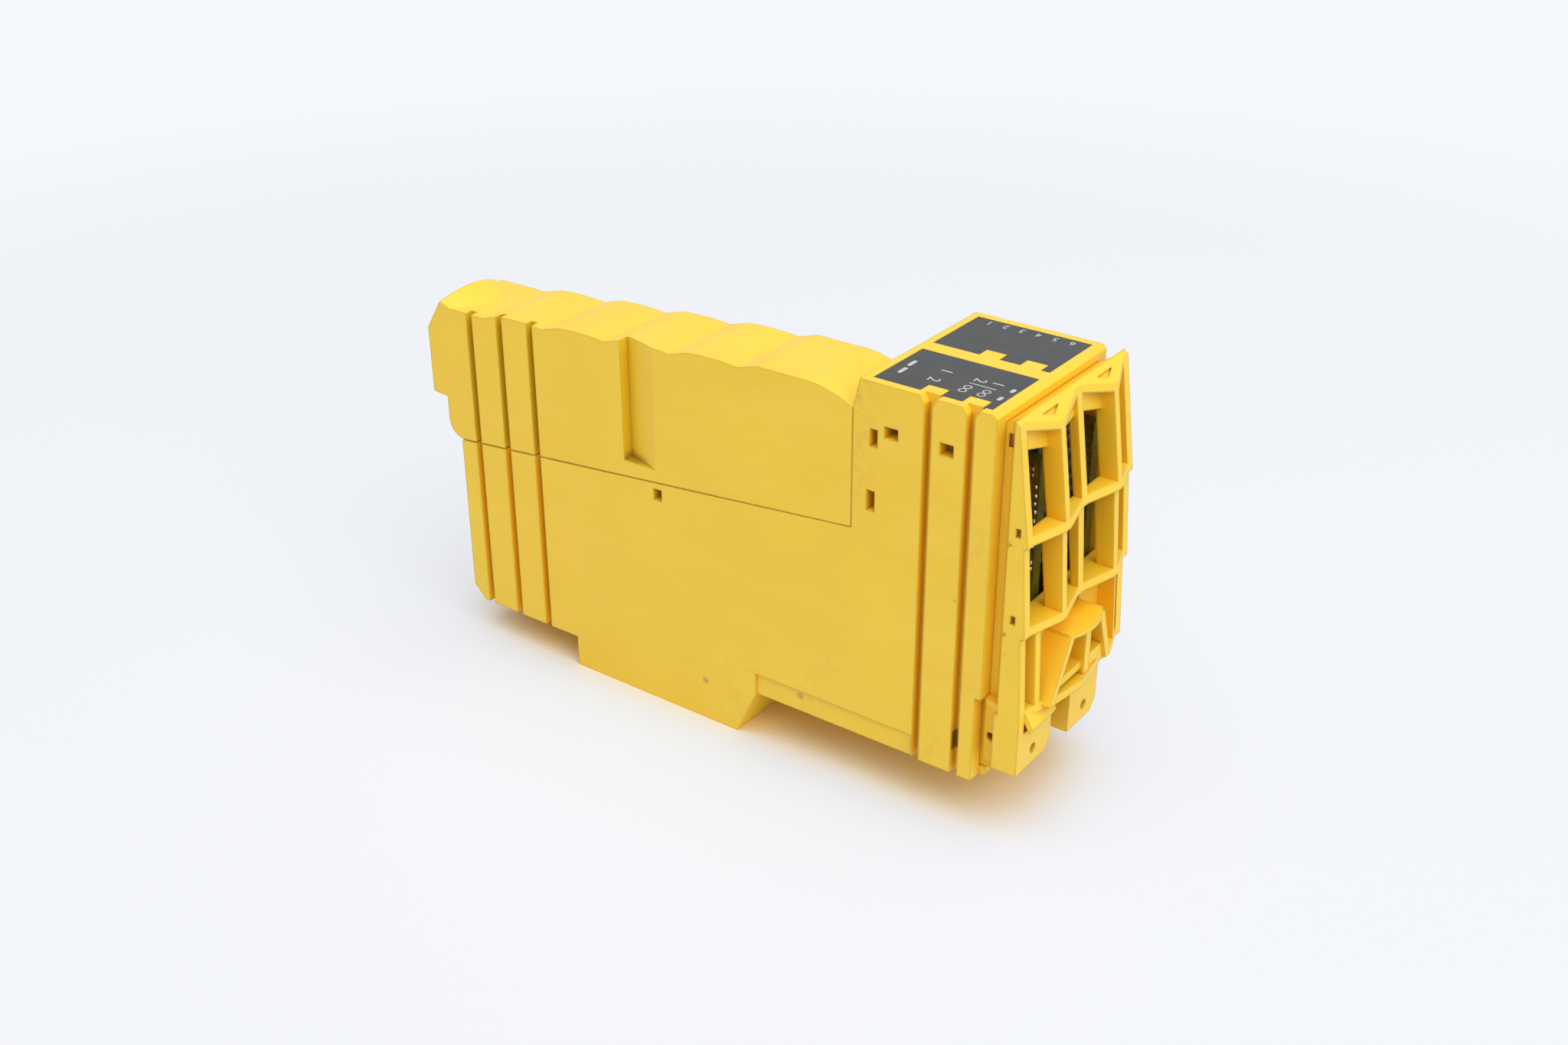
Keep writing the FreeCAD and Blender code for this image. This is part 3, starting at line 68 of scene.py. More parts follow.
def newMaterial(name):
    material = bpy.data.materials.new(name)
    material.use_nodes = True
    tree = material.node_tree
    shader = tree.nodes["Principled BSDF"]
    coords = tree.nodes.new("ShaderNodeTexCoord")
    return material, tree, shader, coords.outputs["Object"]


def plug(tree, source, socket):
    # the source is another node's output or a plain value
    if hasattr(source, "links"):
        tree.links.new(source, socket)
    else:
        socket.default_value = source


def addNode(tree, kind, links=(), **values):
    node = tree.nodes.new(kind)
    for key, value in values.items():
        setattr(node, key, value)
    for socket, source in dict(links).items():
        plug(tree, source, node.inputs[socket])
    return node


def axesOf(tree, vector):
    return addNode(tree, "ShaderNodeSeparateXYZ", {"Vector": vector}).outputs


def facingOf(tree):
    # the way a face looks, along the object's own axes
    return axesOf(tree, addNode(tree, "ShaderNodeTexCoord").outputs["Normal"])


def maths(tree, operation, first, second=0.0):
    return addNode(tree, "ShaderNodeMath", {0: first, 1: second}, operation=operation).outputs["Value"]


def times(tree, first, *others):
    for other in others:
        first = maths(tree, "MULTIPLY", first, other)
    return first


def remap(tree, value, fromLow, fromHigh, toLow, toHigh):
    node = addNode(tree, "ShaderNodeMapRange", {
        "Value": value, "From Min": fromLow, "From Max": fromHigh, "To Min": toLow, "To Max": toHigh})
    return node.outputs["Result"]


def within(tree, value, rise, fall):
    # 1 from the end of the rise to the start of the fall, 0 before the one and after the other
    return times(tree, remap(tree, value, *rise, 0, 1), remap(tree, value, *fall, 1, 0))


def closeTo(tree, value, middle, reach):
    node = addNode(tree, "ShaderNodeMath", {0: value, 1: middle, 2: reach}, operation="COMPARE")
    return node.outputs["Value"]


def noise(tree, where, scale, detail, rough, stretch=None):
    if stretch:
        where = addNode(tree, "ShaderNodeMapping", {"Vector": where, "Scale": stretch}).outputs["Vector"]
    node = addNode(tree, "ShaderNodeTexNoise", {
        "Vector": where, "Scale": scale, "Detail": detail, "Roughness": rough})
    return node.outputs["Fac"]


def patches(tree, where, scale, detail, rough, low, high, least, most, stretch=None):
    # noise whose span from low to high becomes a strength from least to most
    return remap(tree, noise(tree, where, scale, detail, rough, stretch), low, high, least, most)


def blend(tree, amount, first, second):
    node = addNode(tree, "ShaderNodeMix", data_type="RGBA")
    # the colour sockets share their names with others, so they are found by type
    colours = [s for s in node.inputs if s.type == "RGBA"]
    factor = [s for s in node.inputs if s.name == "Factor" and s.type == "VALUE"][0]
    plug(tree, amount, factor)
    plug(tree, first, colours[0])
    plug(tree, second, colours[1])
    return [s for s in node.outputs if s.type == "RGBA"][0]


def roughen(tree, shader, pattern, rough):
    tree.links.new(remap(tree, pattern, *noiseSpan, *rough), shader.inputs["Roughness"])


def roundedNormal(tree, radius):
    return addNode(tree, "ShaderNodeBevel", {"Radius": radius}, samples=edgeRays).outputs["Normal"]


def bumps(tree, shader, layers, edgeRadius=0.0):
    # layers: (height, strength, depth); the rounded edges go in first
    normal = roundedNormal(tree, edgeRadius) if edgeRadius else None
    for height, strength, depth in layers:
        links = {"Height": height, "Strength": strength, "Distance": depth}
        if normal is not None:
            links["Normal"] = normal
        normal = addNode(tree, "ShaderNodeBump", links).outputs["Normal"]
    tree.links.new(normal, shader.inputs["Normal"])


def hollowMask(tree, reach, closed, opened, ownOnly):
    # 1 deep in grooves, pockets and inner corners, or beneath other pieces where ownOnly is off
    node = addNode(tree, "ShaderNodeAmbientOcclusion", {"Distance": reach},
                   samples=hollowRays, only_local=ownOnly)
    return remap(tree, node.outputs["AO"], closed, opened, 1.0, 0.0)


def edgeMask(tree, radius, sharp, flat):
    # 1 along sharp edges, from the angle between the rounded normal and the face's own
    plain = addNode(tree, "ShaderNodeNewGeometry").outputs["Normal"]
    turn = addNode(tree, "ShaderNodeVectorMath", {0: roundedNormal(tree, radius), 1: plain},
                   operation="DOT_PRODUCT")
    return remap(tree, turn.outputs["Value"], flat, sharp, 0.0, 1.0)


def paint(material, *names):
    for name in names:
        mesh = nodes[name].data
        mesh.materials.clear()
        mesh.materials.append(material)


# Signal-yellow moulding of the housing, the cover and the lattice

yellowMoulding = {
    # material, node and shift of its pattern
    "mouldings": {
        "housing": ("yellowHousing", "housing", (0.0, 0.0, 0.0)),
        "cover": ("yellowCover", "blind_cover", (0.31, 0.07, 0.12)),
        "lattice": ("yellowLattice", "vent_lattice", (0.53, 0.21, 0.44)),
    },
    "colour": (0.94, 0.622, 0.032, 1),
    "deepColour": (0.915, 0.588, 0.026, 1),
    "paleColour": (0.95, 0.655, 0.055, 1),
    "grimeColour": (0.36, 0.25, 0.07, 1),
    "speckColour": (0.16, 0.11, 0.03, 1),
    # noise: scale, detail and roughness
    "cloud": (70, 4, 0.6),
    "cloudSpan": (0.35, 0.65),
    "swell": (420, 3, 0.5),
    "grain": (5200, 2, 0.6),
    # marks: noise, the span that counts, strength at its ends, stretch
    "streaks": (180, 3, 0.55, 0.5, 0.8, 0, 0.6, (0.35, 1, 1)),
    "smudges": (46, 5, 0.7, 0.58, 0.76, 0, 1),
    "smudgeGrain": (900, 3, 0.6, 0.45, 0.7, 0, 0.5),
    "speckAreas": (55, 2, 0.5, 0.56, 0.62, 0, 0.8),
    "speckScale": 260,
    "speckSize": (0.035, 0.06),
    "wear": (420, 3, 0.6, 0.4, 0.7, 0.15, 0.75),
    "wornEdge": (0.22 * mm, 0.80, 0.97),  # radius, sharp and flat levels
    # painted bounce light and shade in the inner corners of each moulding: reach, closed and open levels,
    # own faces only, colour
    "hollowShades": {
        "housing": (5 * mm, 0.36, 0.96, True, (0.92, 0.50, 0.006, 1)),
        "cover": (5 * mm, 0.36, 0.96, True, (0.71, 0.435, 0.004, 1)),
        "lattice": (12 * mm, 0.28, 0.92, False, (0.88, 0.465, 0.003, 1)),
    },
    "hollowShadeFacingUp": 0.55,  # share of that painted shade on faces that look up
    # painted shade in small pockets: reach, closed and open levels, own faces only, colour
    "pockets": {
        "housing": (2 * mm, 0.06, 0.24, True, (0.47, 0.26, 0.006, 1)),
        "cover": (2 * mm, 0.06, 0.24, True, (0.56, 0.32, 0.006, 1)),
        "lattice": (2 * mm, 0.08, 0.28, True, (0.30, 0.13, 0.005, 1)),
    },
    "roughness": (0.40, 0.56),
    "specular": 0.58,
    # strength and depth of the bumps
    "swellBump": (0.18, 0.02 * mm),
    "grainBump": (0.22, 0.012 * mm),
    "edgeRadius": 0.34 * mm,
}

nearSide = {
    # handling grime beside the label block's edge
    "grimeRise": (21.0 * mm, 21.5 * mm),
    "grimeFall": (22.2 * mm, 24.6 * mm),
    "grimeUp": (33 * mm, 44 * mm),
    "grimeFace": (-12.3 * mm, -12.45 * mm),
    "grime": (650, 5, 0.7, 0.48, 0.70, 0, 0.36),
    # moulded dots low on the side, along and up in millimetres
    "dots": [(-1.1, 5.7), (13.7, 8.8)],
    "dotSize": (0.31 * mm, 0.62 * mm),
    "dotFace": (-11.6 * mm, -11.9 * mm),
    "dotStrength": 0.6,
    "dotColour": (0.40, 0.23, 0.02, 1),
    # painted shade of the deep window at the foot of the second groove: middle and half size, then its
    # depth
    "windowAlong": (36.25 * mm, 0.8 * mm),
    "windowUp": (10.9 * mm, 1.3 * mm),
    "windowRise": (-12.35 * mm, -12.1 * mm),
    "windowFall": (-10.0 * mm, -9.8 * mm),
    "windowShadeStrength": 0.85,
    "windowShadeColour": (0.21, 0.075, 0.004, 1),
}


def sideMarks(tree, place, colour):
    s = nearSide
    axes = axesOf(tree, place)
    grime = times(tree, within(tree, axes["X"], s["grimeRise"], s["grimeFall"]),
                  remap(tree, axes["Z"], *s["grimeUp"], 0, 1),
                  remap(tree, axes["Y"], *s["grimeFace"], 0, 1),
                  patches(tree, place, *s["grime"]))
    colour = blend(tree, grime, colour, yellowMoulding["grimeColour"])
    onSide = remap(tree, axes["Y"], *s["dotFace"], 0, 1)
    flat = addNode(tree, "ShaderNodeVectorMath", {0: place, 1: (1, 0, 1)}, operation="MULTIPLY")
    for along, up in s["dots"]:
        away = addNode(tree, "ShaderNodeVectorMath", {
            0: flat.outputs["Vector"], 1: (along * mm, 0, up * mm)}, operation="DISTANCE")
        dot = times(tree, remap(tree, away.outputs["Value"], *s["dotSize"], s["dotStrength"], 0), onSide)
        colour = blend(tree, dot, colour, s["dotColour"])
    # painted shade inside the deep window
    windowShade = times(tree, within(tree, axes["Y"], s["windowRise"], s["windowFall"]),
                   closeTo(tree, axes["X"], *s["windowAlong"]),
                   closeTo(tree, axes["Z"], *s["windowUp"]), s["windowShadeStrength"])
    return blend(tree, windowShade, colour, s["windowShadeColour"])


thumbSlotShade = {
    # painted shade at the foot of the cover's slot, where it is darkest
    "alongRise": (-13.6 * mm, -13.5 * mm),
    "alongFall": (-11.6 * mm, -9.0 * mm),
    "acrossRise": (-12.48 * mm, -12.3 * mm),
    "acrossFall": (-10.8 * mm, -10.6 * mm),
    "upRise": (33.7 * mm, 33.75 * mm),
    "upFall": (34.0 * mm, 34.9 * mm),
    "strength": 0.8,
    "colour": (0.36, 0.21, 0.006, 1),
}


def shadeSlotFoot(tree, place, colour):
    s = thumbSlotShade
    axes = axesOf(tree, place)
    # painted shade at the slot's foot
    footShade = times(tree, within(tree, axes["Z"], s["upRise"], s["upFall"]), s["strength"],
                 within(tree, axes["X"], s["alongRise"], s["alongFall"]),
                 within(tree, axes["Y"], s["acrossRise"], s["acrossFall"]))
    return blend(tree, footShade, colour, s["colour"])


latticeShades = {
    "outerSide": (9.4 * mm, 10.2 * mm),  # the outer sides lie further out than this
    "hollowShadeFacingOut": 0.0,  # share of the painted hollow shade on them
    "hoodUp": (51.0 * mm, 51.8 * mm),  # the hood lies above this
    "pocketShadeOnHood": 0.3,  # share of the painted pocket shade on it
    # painted shade on the sunk root of the near lug
    "rootAlong": (40.8 * mm, 41.1 * mm),
    "rootAcross": (-1 * mm, 1 * mm),
    "rootUp": (17.2 * mm, 17.5 * mm),
    "rootShadeStrength": 0.8,
}


def latticeMasks(tree, place, facing, hollowShade, pocketShade):
    # the outer sides and the hood get less of the painted hollow and pocket shade than the cells, and the
    # lug's sunk root gets painted shade
    s = latticeShades
    axes = axesOf(tree, place)
    outward = times(tree, axes["Y"], facing["Y"])
    hollowShade = times(tree, hollowShade, remap(tree, outward, *s["outerSide"], 1, s["hollowShadeFacingOut"]))
    rootShade = times(tree, remap(tree, axes["X"], *s["rootAlong"], 1, 0),
                 remap(tree, axes["Z"], *s["rootUp"], 1, 0),
                 remap(tree, outward, *s["outerSide"], 0, s["rootShadeStrength"]),
                 remap(tree, axes["Y"], *s["rootAcross"], 1, 0))
    pocketShade = times(tree, pocketShade, remap(tree, axes["Z"], *s["hoodUp"], 1, s["pocketShadeOnHood"]))
    return maths(tree, "MAXIMUM", hollowShade, rootShade), pocketShade


def makeYellow(name, part, shift):
    s = yellowMoulding
    material, tree, shader, place = newMaterial(name)
    where = addNode(tree, "ShaderNodeMapping", {"Vector": place, "Location": shift}).outputs["Vector"]
    cloud = noise(tree, where, *s["cloud"])
    colour = blend(tree, remap(tree, cloud, *s["cloudSpan"], 0, 1), s["deepColour"], s["colour"])
    colour = blend(tree, patches(tree, where, *s["streaks"]), colour, s["paleColour"])
    # handling marks: thin smudges, a few specks and paler edges
    smudge = times(tree, patches(tree, where, *s["smudges"]), patches(tree, where, *s["smudgeGrain"]))
    colour = blend(tree, smudge, colour, s["grimeColour"])
    cells = addNode(tree, "ShaderNodeTexVoronoi", {"Vector": where, "Scale": s["speckScale"]})
    speck = times(tree, remap(tree, cells.outputs["Distance"], *s["speckSize"], 1, 0),
                  patches(tree, where, *s["speckAreas"]))
    colour = blend(tree, speck, colour, s["speckColour"])
    wear = times(tree, edgeMask(tree, *s["wornEdge"]), patches(tree, where, *s["wear"]))
    colour = blend(tree, wear, colour, s["paleColour"])
    # painted bounce light and shade: deeper colour where the light comes back from more of the same
    # yellow, and darker small pockets
    facing = facingOf(tree)
    *levels, hollowShadeColour = s["hollowShades"][part]
    hollowShade = times(tree, hollowMask(tree, *levels), remap(tree, facing["Z"], 0, 1, 1, s["hollowShadeFacingUp"]))
    *levels, pocketShadeColour = s["pockets"][part]
    pocketShade = hollowMask(tree, *levels)
    if part == "lattice":
        hollowShade, pocketShade = latticeMasks(tree, place, facing, hollowShade, pocketShade)
    colour = blend(tree, hollowShade, colour, hollowShadeColour)
    colour = blend(tree, pocketShade, colour, pocketShadeColour)
    if part == "housing":
        colour = sideMarks(tree, place, colour)
    if part == "cover":
        colour = shadeSlotFoot(tree, place, colour)
    tree.links.new(colour, shader.inputs["Base Color"])
    grain = noise(tree, where, *s["grain"])
    mean = maths(tree, "ADD", times(tree, grain, 0.5), times(tree, cloud, 0.5))
    roughen(tree, shader, mean, s["roughness"])
    shader.inputs["Specular IOR Level"].default_value = s["specular"]
    swell = noise(tree, where, *s["swell"])
    bumps(tree, shader, [(swell, *s["swellBump"]), (grain, *s["grainBump"])], s["edgeRadius"])
    return material


for part, (name, node, shift) in yellowMoulding["mouldings"].items():
    paint(makeYellow(name, part, shift), node)
print("yellow mouldings painted")


# Label plates: dark grey film with a fine satin tooth

labelFilm = {
    "colour": (0.028, 0.028, 0.028, 1),
    "lightColour": (0.041, 0.041, 0.042, 1),
    "rubbedColour": (0.12, 0.12, 0.125, 1),
    "cloud": (240, 4, 0.6),
    "cloudSpan": (0.4, 0.75),
    "tooth": (7000, 2, 0.5),
    "rub": (900, 4, 0.7, 0.62, 0.78, 0, 0.45, (0.2, 1.6, 1)),
    "roughness": (0.42, 0.56),
    "toothBump": (0.2, 0.008 * mm),
    "cloudBump": (0.1, 0.01 * mm),
    "edgeRadius": 0.08 * mm,
}


def makeLabel():
    s = labelFilm
    material, tree, shader, where = newMaterial("labelFilm")
    cloud = noise(tree, where, *s["cloud"])
    tooth = noise(tree, where, *s["tooth"])
    colour = blend(tree, remap(tree, cloud, *s["cloudSpan"], 0, 1), s["colour"], s["lightColour"])
    colour = blend(tree, patches(tree, where, *s["rub"]), colour, s["rubbedColour"])
    tree.links.new(colour, shader.inputs["Base Color"])
    roughen(tree, shader, tooth, s["roughness"])
    bumps(tree, shader, [(tooth, *s["toothBump"]), (cloud, *s["cloudBump"])], s["edgeRadius"])
    return material


paint(makeLabel(), "label_plate_near", "label_plate_far")
print("label plates painted")


# Printed marks on the label plates: channel numbers, light windows and a contact symbol

labelPrint = {
    "colour": (0.55, 0.55, 0.56, 1),
    "fleckColour": (0.34, 0.34, 0.35, 1),
    "flecks": (6000, 3, 0.6),
    "fleckSpan": (0.5, 0.8, 0, 0.6),
    "roughness": (0.4, 0.6),
    "fleckBump": (0.15, 0.006 * mm),
    "lift": 0.004 * mm,
    "thick": 0.02 * mm,
    "nearSize": 2.1 * mm,
    "nearTurn": -math.pi / 2,
    "farSize": 1.5 * mm,
    "farTurn": math.pi,
    "curveSteps": 6,
    # number, place along and across in millimetres
    "nearNumbers": [("1", 28.5, -5.2), ("2", 28.55, -8.0), ("1", 35.0, -5.0), ("2", 32.9, -5.3)],
    "farNumbers": [("1", 25.0), ("2", 27.2), ("3", 29.4), ("4", 31.6), ("5", 33.8), ("6", 36.0)],
    "farAcross": 10.3,
    # light windows: along, across, length across
    "windows": [(24.2, -5.5, 1.7), (24.4, -7.8, 1.7), (37.3, -5.7, 1.0), (37.2, -8.3, 1.0)],
    "windowWide": 0.5 * mm,
    "windowCorner": 0.18 * mm,
    # contact symbol: a line with two pairs of rings beside it
    "line": (33.95, -6.5, 3.4, 0.17),  # along, across, length along, width
    "lineCorner": 0.05 * mm,
    "cornerSteps": 4,
    "rings": [(32.75, -7.65), (32.7, -8.7), (35.1, -7.55), (35.0, -8.6)],
    "ringOuter": 0.5 * mm,
    "ringStroke": 0.15 * mm,
    "ringSides": 28,
}


def makePrint():
    s = labelPrint
    material, tree, shader, where = newMaterial("labelPrint")
    flecks = noise(tree, where, *s["flecks"])
    colour = blend(tree, remap(tree, flecks, *s["fleckSpan"]), s["colour"], s["fleckColour"])
    tree.links.new(colour, shader.inputs["Base Color"])
    roughen(tree, shader, flecks, s["roughness"])
    bumps(tree, shader, [(flecks, *s["fleckBump"])])
    return material


printMaterial = makePrint()
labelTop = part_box("label_plate_near")[1].z


def settle(piece, name, material, body="base"):
    # put the place into the mesh, then hand the piece to its body
    bpy.ops.object.select_all(action="DESELECT")
    piece.select_set(True)
    bpy.context.view_layer.objects.active = piece
    bpy.ops.object.transform_apply(location=True, rotation=True, scale=True)
    piece.name = name
    piece.data.name = name
    piece.data.materials.clear()
    piece.data.materials.append(material)
    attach(piece, body)
    return piece


def onLabel(along, across):
    return along * mm, across * mm, labelTop + labelPrint["lift"]


def printNumber(text, along, across, size, turn, name):
    bpy.ops.object.select_all(action="DESELECT")
    bpy.ops.object.text_add(location=onLabel(along, across), rotation=(0, 0, turn))
    piece = bpy.context.object
    piece.data.body = text
    piece.data.size = size
    piece.data.align_x = "CENTER"
    piece.data.align_y = "CENTER"
    piece.data.extrude = labelPrint["thick"] / 2
    piece.data.resolution_u = labelPrint["curveSteps"]
    bpy.ops.object.convert(target="MESH")
    settle(bpy.context.object, name, printMaterial)


def thicken():
    # the flat outline that is being edited becomes a thin closed slab
    bpy.ops.mesh.select_all(action="SELECT")
    bpy.ops.mesh.extrude_region_move(TRANSFORM_OT_translate={"value": (0, 0, labelPrint["thick"] / 2)})
    bpy.ops.mesh.select_all(action="SELECT")
    bpy.ops.mesh.normals_make_consistent(inside=False)
    bpy.ops.object.mode_set(mode="OBJECT")


def printBar(along, across, wide, reach, corner, name):
    bpy.ops.object.select_all(action="DESELECT")
    bpy.ops.mesh.primitive_plane_add(size=1, location=onLabel(along, across))
    piece = bpy.context.object
    piece.scale = (wide, reach, 1)
    bpy.ops.object.transform_apply(location=False, rotation=False, scale=True)
    bpy.ops.object.mode_set(mode="EDIT")
    bpy.ops.mesh.select_all(action="SELECT")
    bpy.ops.mesh.bevel(offset=corner, segments=labelPrint["cornerSteps"], affect="VERTICES")
    thicken()
    settle(piece, name, printMaterial)


def printRing(along, across, name):
    s = labelPrint
    bpy.ops.object.select_all(action="DESELECT")
    bpy.ops.mesh.primitive_circle_add(vertices=s["ringSides"], radius=s["ringOuter"], fill_type="NGON",
                                      location=onLabel(along, across))
    piece = bpy.context.object
    bpy.ops.object.mode_set(mode="EDIT")
    bpy.ops.mesh.select_all(action="SELECT")
    bpy.ops.mesh.inset(thickness=s["ringStroke"])
    bpy.ops.mesh.delete(type="FACE")  # the inset leaves the middle face selected
    thicken()
    settle(piece, name, printMaterial)


for i, (text, along, across) in enumerate(labelPrint["nearNumbers"]):
    printNumber(text, along, across, labelPrint["nearSize"], labelPrint["nearTurn"], "nearNumber%d" % i)
for i, (text, along) in enumerate(labelPrint["farNumbers"]):
    printNumber(text, along, labelPrint["farAcross"], labelPrint["farSize"], labelPrint["farTurn"],
                "farNumber%d" % i)
for i, (along, across, reach) in enumerate(labelPrint["windows"]):
    printBar(along, across, labelPrint["windowWide"], reach * mm, labelPrint["windowCorner"],
             "lightWindow%d" % i)
along, across, wide, reach = labelPrint["line"]
printBar(along, across, wide * mm, reach * mm, labelPrint["lineCorner"], "contactLine")
for i, (along, across) in enumerate(labelPrint["rings"]):
    printRing(along, across, "contactRing%d" % i)
print("label print made")


# Circuit boards: green resist over copper traces, with vias

boardLaminate = {
    "resist": (0.105, 0.066, 0.003, 1),
    "overCopper": (0.16, 0.105, 0.005, 1),
    "cutEdge": (0.135, 0.118, 0.001, 1),
    "cutEdgeDark": (0.075, 0.070, 0.001, 1),
    "stainColour": (0.030, 0.018, 0.003, 1),
    "viaColour": (0.55, 0.42, 0.2, 1),
    # copper traces one way and the other, with the shift of every second row
    "traces": {
        "Scale": 620, "Mortar Size": 0.06, "Mortar Smooth": 0.1, "Brick Width": 2.6, "Row Height": 0.4},
    "traceShift": 0.37,
    "across": {
        "Scale": 434, "Mortar Size": 0.07, "Mortar Smooth": 0.1, "Brick Width": 1.8, "Row Height": 0.5},
    "acrossShift": 0.43,
    "vias": {"Scale": 420, "Randomness": 0.55},
    "viaSize": (0.10, 0.13),
    "viaTint": 0.7,
    "viaMetal": 0.8,
    "cloud": (300, 3, 0.5),
    "stainSpan": (0.4, 0.8, 0, 0.4),
    "fibres": (2600, 3, 0.6, 0.35, 0.7, 0, 1, (1, 1, 0.2)),
    "weave": (2400, 2, 0.5),
    "gloss": (0.22, 0.36),
    "broadSpan": (0.4, 0.6),  # a broad face turns at least this far to Y
    "sawnDull": 0.4,  # more roughness on the sawn edges
    "specular": 0.15,
    "copperBump": (0.35, 0.03 * mm),
    "viaBump": (0.4, 0.04 * mm),
    "weaveBump": (0.08, 0.01 * mm),
}


def makeBoard():
    s = boardLaminate
    material, tree, shader, where = newMaterial("boardLaminate")
    turned = addNode(tree, "ShaderNodeMapping", {"Vector": where, "Rotation": (math.pi / 2, 0, 0)})
    traces = addNode(tree, "ShaderNodeTexBrick", dict(s["traces"], Vector=where), offset=s["traceShift"])
    across = addNode(tree, "ShaderNodeTexBrick", dict(s["across"], Vector=turned.outputs["Vector"]),
                     offset=s["acrossShift"])
    copper = maths(tree, "MAXIMUM", traces.outputs["Fac"], across.outputs["Fac"])
    cloud = noise(tree, where, *s["cloud"])
    colour = blend(tree, copper, s["resist"], s["overCopper"])
    colour = blend(tree, remap(tree, cloud, *s["stainSpan"]), colour, s["stainColour"])
    # the boards stand across Y, so any other face is a sawn edge with no resist on it
    broad = remap(tree, maths(tree, "ABSOLUTE", facingOf(tree)["Y"]), *s["broadSpan"], 0, 1)
    dots = addNode(tree, "ShaderNodeTexVoronoi", dict(s["vias"], Vector=where)).outputs["Distance"]
    via = times(tree, remap(tree, dots, *s["viaSize"], 1, 0), broad)
    colour = blend(tree, times(tree, via, s["viaTint"]), colour, s["viaColour"])
    sawn = blend(tree, patches(tree, where, *s["fibres"]), s["cutEdge"], s["cutEdgeDark"])
    tree.links.new(blend(tree, broad, sawn, colour), shader.inputs["Base Color"])
    tree.links.new(times(tree, via, s["viaMetal"]), shader.inputs["Metallic"])
    dull = times(tree, maths(tree, "SUBTRACT", 1.0, broad), s["sawnDull"])
    gloss = remap(tree, cloud, *noiseSpan, *s["gloss"])
    tree.links.new(maths(tree, "ADD", gloss, dull), shader.inputs["Roughness"])
    shader.inputs["Specular IOR Level"].default_value = s["specular"]
    weave = noise(tree, where, *s["weave"])
    bumps(tree, shader, [(copper, *s["copperBump"]), (via, *s["viaBump"]), (weave, *s["weaveBump"])])
    return material


paint(makeBoard(), "circuit_board_near", "circuit_board_far")


# Dark moulded plastics: chip packages, connectors and the contact carrier

darkMouldings = {
    "chipEpoxy": {
        "colour": (0.018, 0.018, 0.02, 1), "light": (0.035, 0.034, 0.035, 1),
        "rough": (0.5, 0.7), "grain": 9000},
    "connectorPlastic": {
        "colour": (0.026, 0.026, 0.028, 1), "light": (0.05, 0.05, 0.052, 1),
        "rough": (0.38, 0.55), "grain": 4200},
    "socketPlastic": {
        "colour": (0.082, 0.083, 0.088, 1), "light": (0.13, 0.13, 0.136, 1),
        "rough": (0.42, 0.6), "grain": 4600},
    "ferriteCore": {
        "colour": (0.05, 0.05, 0.053, 1), "light": (0.1, 0.098, 0.096, 1),
        "rough": (0.55, 0.8), "grain": 2600},
    "ceramicChip": {
        "colour": (0.21, 0.075, 0.028, 1), "light": (0.30, 0.12, 0.05, 1),
        "rough": (0.35, 0.5), "grain": 7000},
}
darkFinish = {
    "grain": (3, 0.6),  # detail and roughness; the scale is the material's own
    "cloud": (160, 4, 0.6, 0.4, 0.75, 0, 0.8),
    "dust": (1400, 4, 0.7, 0.56, 0.75, 0, 1),
    "dustAreas": (90, 2, 0.5, 0.45, 0.7, 0, 0.35),
    "dustColour": (0.3, 0.29, 0.27, 1),
    "wornEdge": (0.15 * mm, 0.80, 0.97),
    "wear": 0.45,
    "wearLift": 2.2,  # worn edges are this much lighter than the light colour
    "grainBump": (0.3, 0.012 * mm),
    "edgeRadius": 0.12 * mm,
}


def makeDark(name):
    s = darkMouldings[name]
    f = darkFinish
    material, tree, shader, where = newMaterial(name)
    grain = noise(tree, where, s["grain"], *f["grain"])
    colour = blend(tree, patches(tree, where, *f["cloud"]), s["colour"], s["light"])
    dust = times(tree, patches(tree, where, *f["dust"]), patches(tree, where, *f["dustAreas"]))
    colour = blend(tree, dust, colour, f["dustColour"])
    worn = tuple(min(1, f["wearLift"] * c) for c in s["light"][:3]) + (1,)
    colour = blend(tree, times(tree, edgeMask(tree, *f["wornEdge"]), f["wear"]), colour, worn)
    tree.links.new(colour, shader.inputs["Base Color"])
    roughen(tree, shader, grain, s["rough"])
    bumps(tree, shader, [(grain, *f["grainBump"])], f["edgeRadius"])
    return material


paint(makeDark("chipEpoxy"), "processor_near", "processor_far", "input_couplers", "output_drivers")
connectorMaterial = makeDark("connectorPlastic")
paint(connectorMaterial, "bus_connector_near", "bus_connector_far", "board_link")
paint(makeDark("socketPlastic"), "terminal_socket")
paint(makeDark("ferriteCore"), "power_inductor")
print("boards and dark mouldings painted")


# Metals: solder, plated contacts, the copper strip and the capacitor cans

metals = {
    "brightSolder": {
        "colour": (0.90, 0.89, 0.86, 1), "dull": (0.66, 0.65, 0.62, 1),
        "rough": (0.2, 0.36), "stretch": (1, 1, 1)},
    "platedContact": {
        "colour": (0.80, 0.62, 0.30, 1), "dull": (0.52, 0.38, 0.17, 1),
        "rough": (0.2, 0.38), "stretch": (1, 1, 0.12)},
    "copperStrip": {
        "colour": (0.42, 0.20, 0.10, 1), "dull": (0.12, 0.055, 0.025, 1),
        "rough": (0.3, 0.55), "stretch": (1, 1, 0.15)},
    "capCan": {
        "colour": (0.76, 0.76, 0.77, 1), "dull": (0.56, 0.56, 0.57, 1),
        "rough": (0.24, 0.4), "stretch": (1, 0.15, 1)},
}
metalFinish = {
    "brush": (3600, 3, 0.6),
    "stain": (700, 4, 0.6, 0.42, 0.72, 0, 0.85),
    "brushBump": (0.2, 0.008 * mm),
    "edgeRadius": 0.1 * mm,
}


